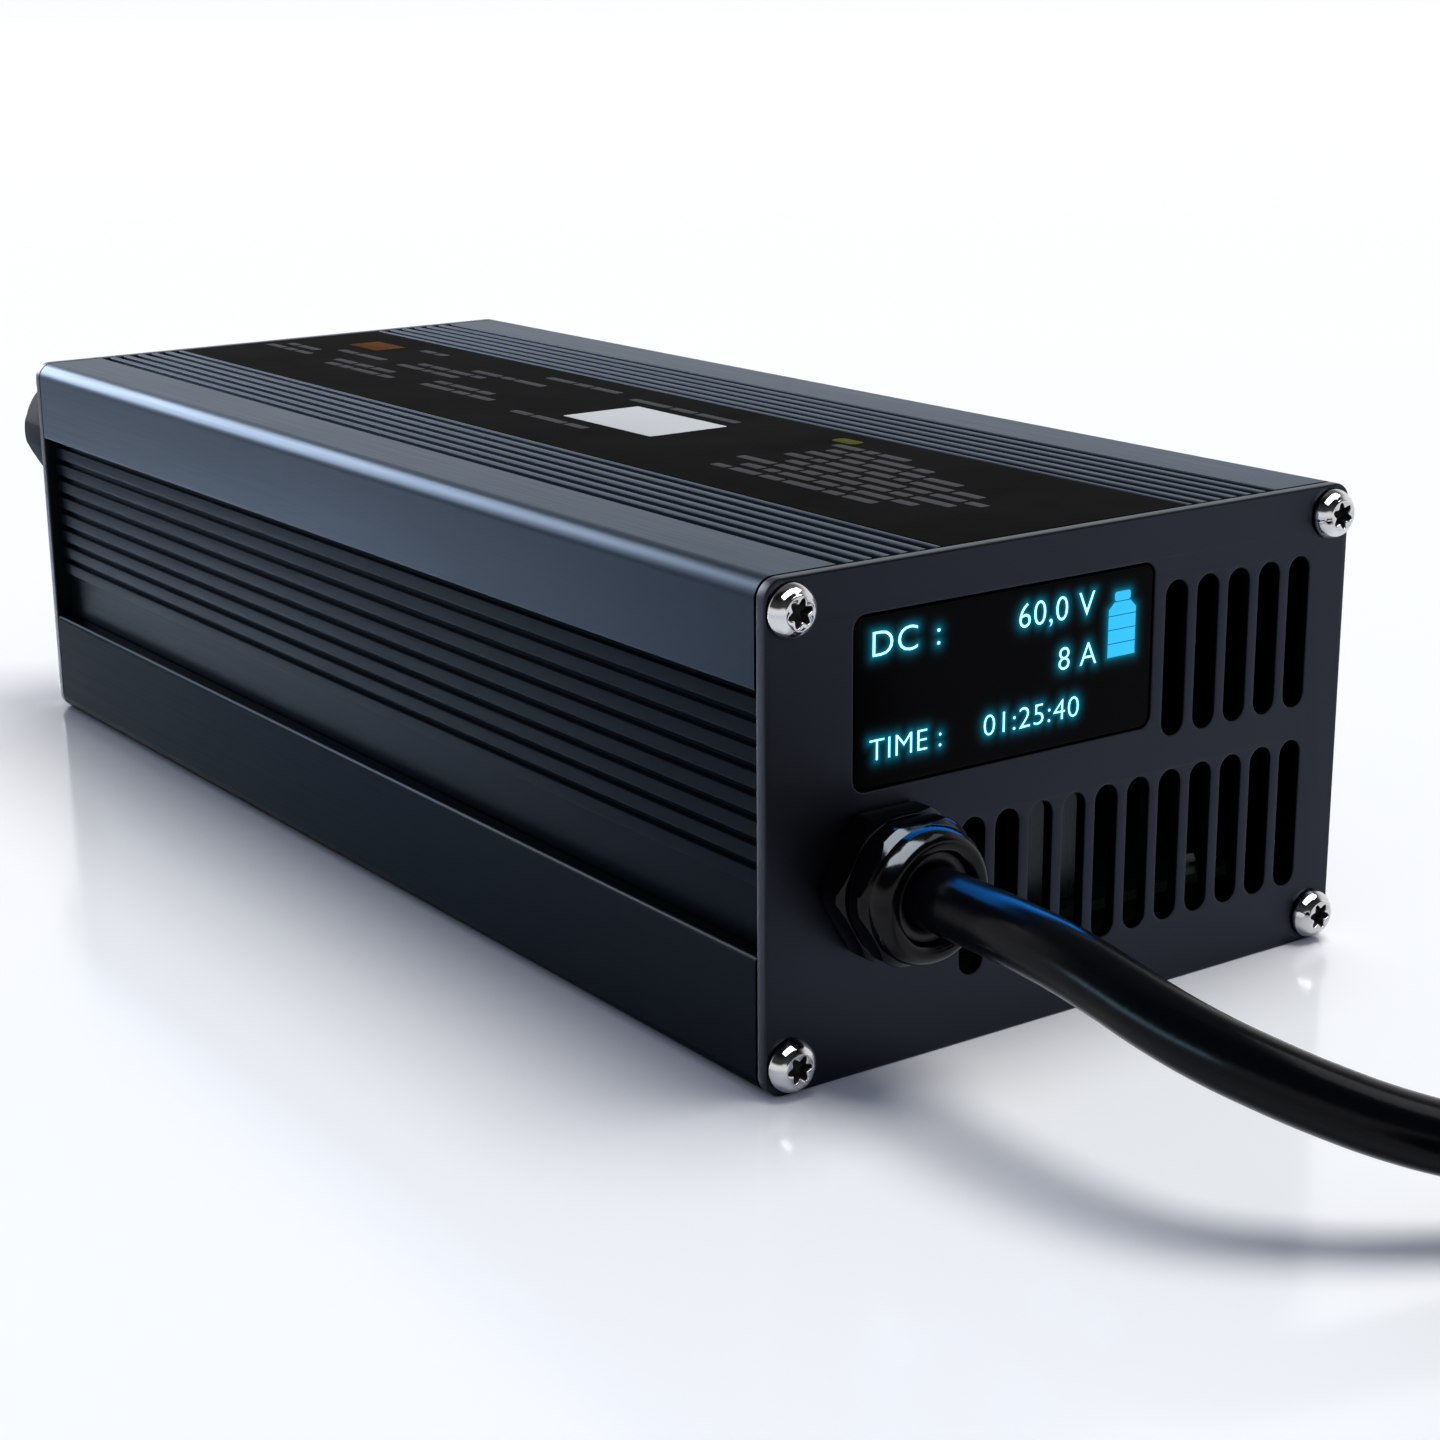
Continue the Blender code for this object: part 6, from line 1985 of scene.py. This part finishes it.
@dataclass(frozen=True)
class CableGland:
    """A cable gland: threaded body with its flange, lock nut, seal and dome nut."""

    end: str
    facing: Facing
    axis: Flat
    flange_width: float
    flange_radius: float
    nut_width: float
    nut_radius: float
    nut_length: float
    dome: float
    flange: float = 4.4 * MM
    collar: float = 2.4 * MM
    thread: float = 8.0 * MM
    bore: float = 4.8 * MM
    mouth: float = 6.6 * MM
    land: float = 1.2 * MM
    finish: Finish = NYLON
    seal_inset: float = 1.6 * MM
    seal_wall: float = 1.9 * MM
    seal_grip: float = 0.27 * MM
    pitch: float = 1.5 * MM
    lock_width: float = 19.0 * MM
    lock_radius: float = 10.4 * MM
    lock_bore: float = 8.3 * MM
    lock_depth: float = 4.5 * MM

    def placed(self, name: str, shape: bmesh.types.BMesh, finish: Finish, part: str) -> bpy.types.Object:
        """Puts one part of the gland on its axis.

        Args:
            name: The piece's name.
            shape: Its mesh, upright, with the plate's face at Z zero.
            finish: Its finish.
            part: The end of its solid's name.

        Returns:
            The piece.
        """
        face = FRONT_FACE if self.facing is Facing.FRONT else REAR_FACE
        moved(shape, self.facing.matrix((self.axis[0], face, self.axis[1])))
        piece = made_piece(f"{self.end}_{name}", shape, 30.0)
        return dressed(piece, finish, nodes=(f"{self.end}_gland_{part}",))

    def threads(self, profile: list[Corner], top: float, bottom: float) -> None:
        """Adds the crests and roots of a thread to a profile, downwards.

        Args:
            profile: The profile that takes them.
            top: Where the thread starts.
            bottom: Where it ends.
        """
        crest = ((-0.6, 0.0, 0.0), (-0.05, -0.45, 0.1), (-0.05, -0.75, 0.1), (-0.6, -1.2, 0.0))
        for turn in range(int((top - bottom) / self.pitch)):
            profile += stepped(self.thread, top - 0.3 * MM - turn * self.pitch, crest)

    def body(self) -> bpy.types.Object:
        """The threaded body with its six-sided flange.

        Returns:
            The body.
        """
        low = CLEARANCE
        high = low + self.flange
        radius = self.flange_radius
        tail = -(PLATE_THICKNESS + CLEARANCE + self.lock_depth + self.pitch)
        profile: list[Corner] = [
            (self.thread - 0.2 * MM, high + self.collar, 0.2 * MM),
            (self.thread - 0.2 * MM, high, 0.0),
            (radius - 1.1 * MM, high, 0.25 * MM),
            (radius, high - 0.75 * MM, 0.2 * MM),
            (radius, low + 0.35 * MM, 0.2 * MM),
            (radius - 0.4 * MM, low, 0.0),
            (self.thread, low, 0.0),
            (self.thread, -PLATE_THICKNESS, 0.0),
        ]
        self.threads(profile, -PLATE_THICKNESS, tail)
        profile += [(self.thread - 0.5 * MM, tail, 0.2 * MM), (self.bore, tail, 0.2 * MM)]
        profile.append((self.bore, high + self.collar, 0.2 * MM))
        shape = lathe(profile, 72)
        cut_flats(shape, self.flange_width, 0.22 * MM)
        return self.placed("flange", shape, self.finish, "body")

    def lock_nut(self) -> bpy.types.Object:
        """The lock nut inside the case.

        Returns:
            The lock nut.
        """
        high = -(PLATE_THICKNESS + CLEARANCE)
        low = high - self.lock_depth
        radius = self.lock_radius
        profile = stepped(radius, high, ((-0.8, 0.0, 0.2), (0.0, -0.5, 0.2)))
        profile += stepped(radius, low, ((0.0, 0.4, 0.2), (-0.6, 0.0, 0.0)))
        profile += [(self.lock_bore, low, 0.2 * MM), (self.lock_bore, high, 0.2 * MM)]
        shape = lathe(profile, 48)
        cut_flats(shape, self.lock_width, 0.2 * MM)
        return self.placed("lock_nut", shape, self.finish, "locknut")

    def seal(self) -> bpy.types.Object:
        """The rubber seal that grips the cord.

        Returns:
            The seal.
        """
        low = CLEARANCE + self.flange + self.collar + CLEARANCE
        high = 2 * CLEARANCE + self.flange + self.nut_length - self.seal_inset
        outer = self.bore + self.seal_wall
        throat = self.mouth - CLEARANCE
        step = high - self.seal_inset
        grip = self.bore - self.seal_grip if self.facing is Facing.FRONT else self.bore
        profile: list[Corner] = [
            (throat, high, 0.25 * MM),
            (throat, step, 0.0),
            (outer, step - (outer - throat), 0.0),
            (outer, low, 0.2 * MM),
            (grip, low, 0.2 * MM),
            (grip, high - 0.9 * MM, 0.3 * MM),
            (grip + 0.7 * MM, high, 0.25 * MM),
        ]
        return self.placed("seal", lathe(profile, 56), SEAL, "seal")

    def dome_nut(self) -> bpy.types.Object:
        """The dome nut: flats at its foot that run out into a dome with a round mouth.

        Returns:
            The dome nut.
        """
        low = 2 * CLEARANCE + self.flange
        high = low + self.nut_length
        shoulder = high - self.dome
        foot = self.nut_width / 2 - 0.1 * MM
        rim = self.mouth + self.land
        seal = self.bore + self.seal_wall + CLEARANCE
        throat = high - 2 * self.seal_inset + CLEARANCE
        profile: list[Corner] = [
            (self.mouth, high - 0.5 * MM, 0.0),
            (self.mouth + 0.35 * MM, high - 0.08 * MM, 0.15 * MM),
            (rim - 0.1 * MM, high, 0.2 * MM),
        ]
        for step in range(1, 10):
            angle = math.radians(90.0 - 10.0 * step)
            reach = rim + (foot - rim) * math.cos(angle)
            profile.append((reach, shoulder + self.dome * math.sin(angle), 0.0))
        profile += [
            (self.nut_radius, shoulder - (self.nut_radius - foot), 0.2 * MM),
            (self.nut_radius, low + 0.9 * MM, 0.25 * MM),
            (self.nut_radius - 0.8 * MM, low, 0.2 * MM),
            (self.thread + CLEARANCE, low, 0.0),
            (self.thread + CLEARANCE, low + self.collar, 0.0),
            (seal, low + self.collar, 0.0),
            (seal, throat - (seal - self.mouth), 0.0),
            (self.mouth, throat, 0.0),
        ]
        shape = lathe(profile, 96)
        cut_flats(shape, self.nut_width, 0.22 * MM)
        return self.placed("dome", shape, self.finish, "nut")

    def build(self) -> list[bpy.types.Object]:
        """Makes the gland's four parts."""
        return [self.body(), self.lock_nut(), self.seal(), self.dome_nut()]


# ---------------------------------------------------------------- fan and electronics


@dataclass(frozen=True)
class FanRotor:
    """The fan's hub and its curved blades, which turn on the rotor's body."""

    blades: int = 7
    hub: float = 11.0 * MM
    tip: float = 22.0 * MM
    chord: float = 10.5 * MM
    thickness: float = 1.1 * MM
    root_pitch: float = 38.0
    tip_pitch: float = 24.0
    camber: float = 1.1 * MM
    shaft: float = 1.5 * MM
    shaft_length: float = 3.6 * MM

    def blade(self, number: int, middle: float) -> bmesh.types.BMesh:
        """One twisted and curved blade.

        Args:
            number: Its number round the hub.
            middle: Its height along the axis.

        Returns:
            Its mesh.
        """
        shape = bmesh.new()
        bmesh.ops.create_grid(shape, x_segments=10, y_segments=8, size=0.5)
        root = self.hub - 1.0 * MM
        for vert in shape.verts:
            share, across = vert.co.x + 0.5, vert.co.y
            radius = root + (self.tip - root) * share
            chord = self.chord * (0.9 + 0.25 * share)
            pitch = math.radians(self.root_pitch + (self.tip_pitch - self.root_pitch) * share)
            lift = self.camber * (1.0 - 4.0 * across * across)
            y = across * chord * math.cos(pitch) - lift * math.sin(pitch)
            z = across * chord * math.sin(pitch) + lift * math.cos(pitch)
            vert.co = (radius * math.cos(y / radius), radius * math.sin(y / radius), z + middle)
        bmesh.ops.recalc_face_normals(shape, faces=shape.faces)
        bmesh.ops.solidify(shape, geom=list(shape.faces), thickness=self.thickness)
        cleaned(shape)
        return moved(shape, Matrix.Rotation(2 * math.pi * number / self.blades, 4, "Z"))

    def build(self) -> list[bpy.types.Object]:
        """Makes the rotor in its solid's place.

        Returns:
            The rotor.
        """
        low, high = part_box("fan_rotor")
        rear = high.y - self.shaft_length
        depth = rear - low.y
        profile: list[Corner] = [
            (0.0, self.shaft_length, 0.0),
            (self.shaft, self.shaft_length, 0.25 * MM),
            (self.shaft, 0.0, 0.0),
            (self.hub - 0.05 * MM, 0.0, 0.3 * MM),
            (self.hub - 0.05 * MM, -depth, 0.9 * MM),
            (6.0 * MM, -depth, 0.3 * MM),
            (5.6 * MM, 0.4 * MM - depth, 0.2 * MM),
            (0.0, 0.4 * MM - depth, 0.0),
        ]
        shapes = [lathe(profile, 56, closed=False)]
        shapes += [self.blade(number, -depth / 2) for number in range(self.blades)]
        shape = moved(joined(shapes), Facing.REAR.matrix((FAN_AXIS[0], rear, FAN_AXIS[1])))
        return [dressed(made_piece("rotor_blades", shape, 40.0), FAN, ROTOR, ("fan_rotor",))]


@dataclass(frozen=True)
class CarriedSolids:
    """The solids that stay as they are and only get their finish."""

    def build(self) -> list[bpy.types.Object]:
        """Dresses every solid by the record's material slots.

        Returns:
            The dressed solids.
        """
        pieces = []
        for part in frame["record"]["subparts"]:
            node = frame["nodes"][part["node"]]
            material = SLOT_FINISHES[part["material_slot"]].material()
            for slot in node.material_slots:
                slot.material = material
            pieces.append(node)
        return pieces


def report(group: str, pieces: list[bpy.types.Object]) -> None:
    """Reports each piece of a group.

    Args:
        group: The group's name.
        pieces: Its pieces.
    """
    for piece in pieces:
        faces = len(piece.data.polygons) if piece.type == "MESH" else 0
        LOG.info("%s: %s, %d faces", group, piece.name, faces)


def numbered(stem: str) -> tuple[str, ...]:
    """The names of a set of four nodes."""
    return tuple(f"{stem}_{number}" for number in range(1, 5))


def main() -> None:
    """Builds the scene."""
    logging.basicConfig(level=logging.INFO, format="%(message)s")
    bpy.context.scene.view_settings.view_transform = "Standard"
    Viewpoint().place()
    cord = OutputCord()
    plug = RoundPlug().build(cord.route()[-1])
    report("plug", plug)
    report("cord", cord.build(plug))
    report("carried", CarriedSolids().build())
    report("case", RibbedCase().build())
    report("plates", EndPlates().build())
    end_size = (3.8 * MM, 2.2 * MM, 2.0 * MM, 12.0 * MM)
    fan_size = (3.4 * MM, 1.9 * MM, 1.8 * MM, 12.0 * MM)
    for stem, facing, drive, size, turns in (
        ("front_screw", Facing.FRONT, Drive.SIX_LOBE, end_size, (14.0, 41.0, 3.0, 52.0)),
        ("rear_screw", Facing.REAR, Drive.SIX_LOBE, end_size, (22.0, 7.0, 35.0, 50.0)),
        ("fan_screw", Facing.REAR, Drive.CROSS, fan_size, (10.0, 63.0, 31.0, 80.0)),
    ):
        report("screws", ButtonScrews(numbered(stem), facing, drive, *size, turns).build())
    report("display", Display().build())
    report("label", TopLabel().build())
    front = CableGland(
        "front", Facing.FRONT, FRONT_GLAND, flange_width=20.0 * MM, flange_radius=11.2 * MM,
        nut_width=19.6 * MM, nut_radius=10.6 * MM, nut_length=7.0 * MM, dome=3.0 * MM,
    )
    rear = CableGland(
        "rear", Facing.REAR, REAR_GLAND, flange_width=22.6 * MM, flange_radius=12.6 * MM,
        nut_width=22.6 * MM, nut_radius=12.0 * MM, nut_length=19.0 * MM, dome=3.0 * MM, finish=NYLON_SATIN_PAINTED_LIGHT,
    )
    report("gland", front.build() + rear.build())
    report("fan", FanRotor().build())
    Studio().set_up()


if __name__ == "__main__":
    main()
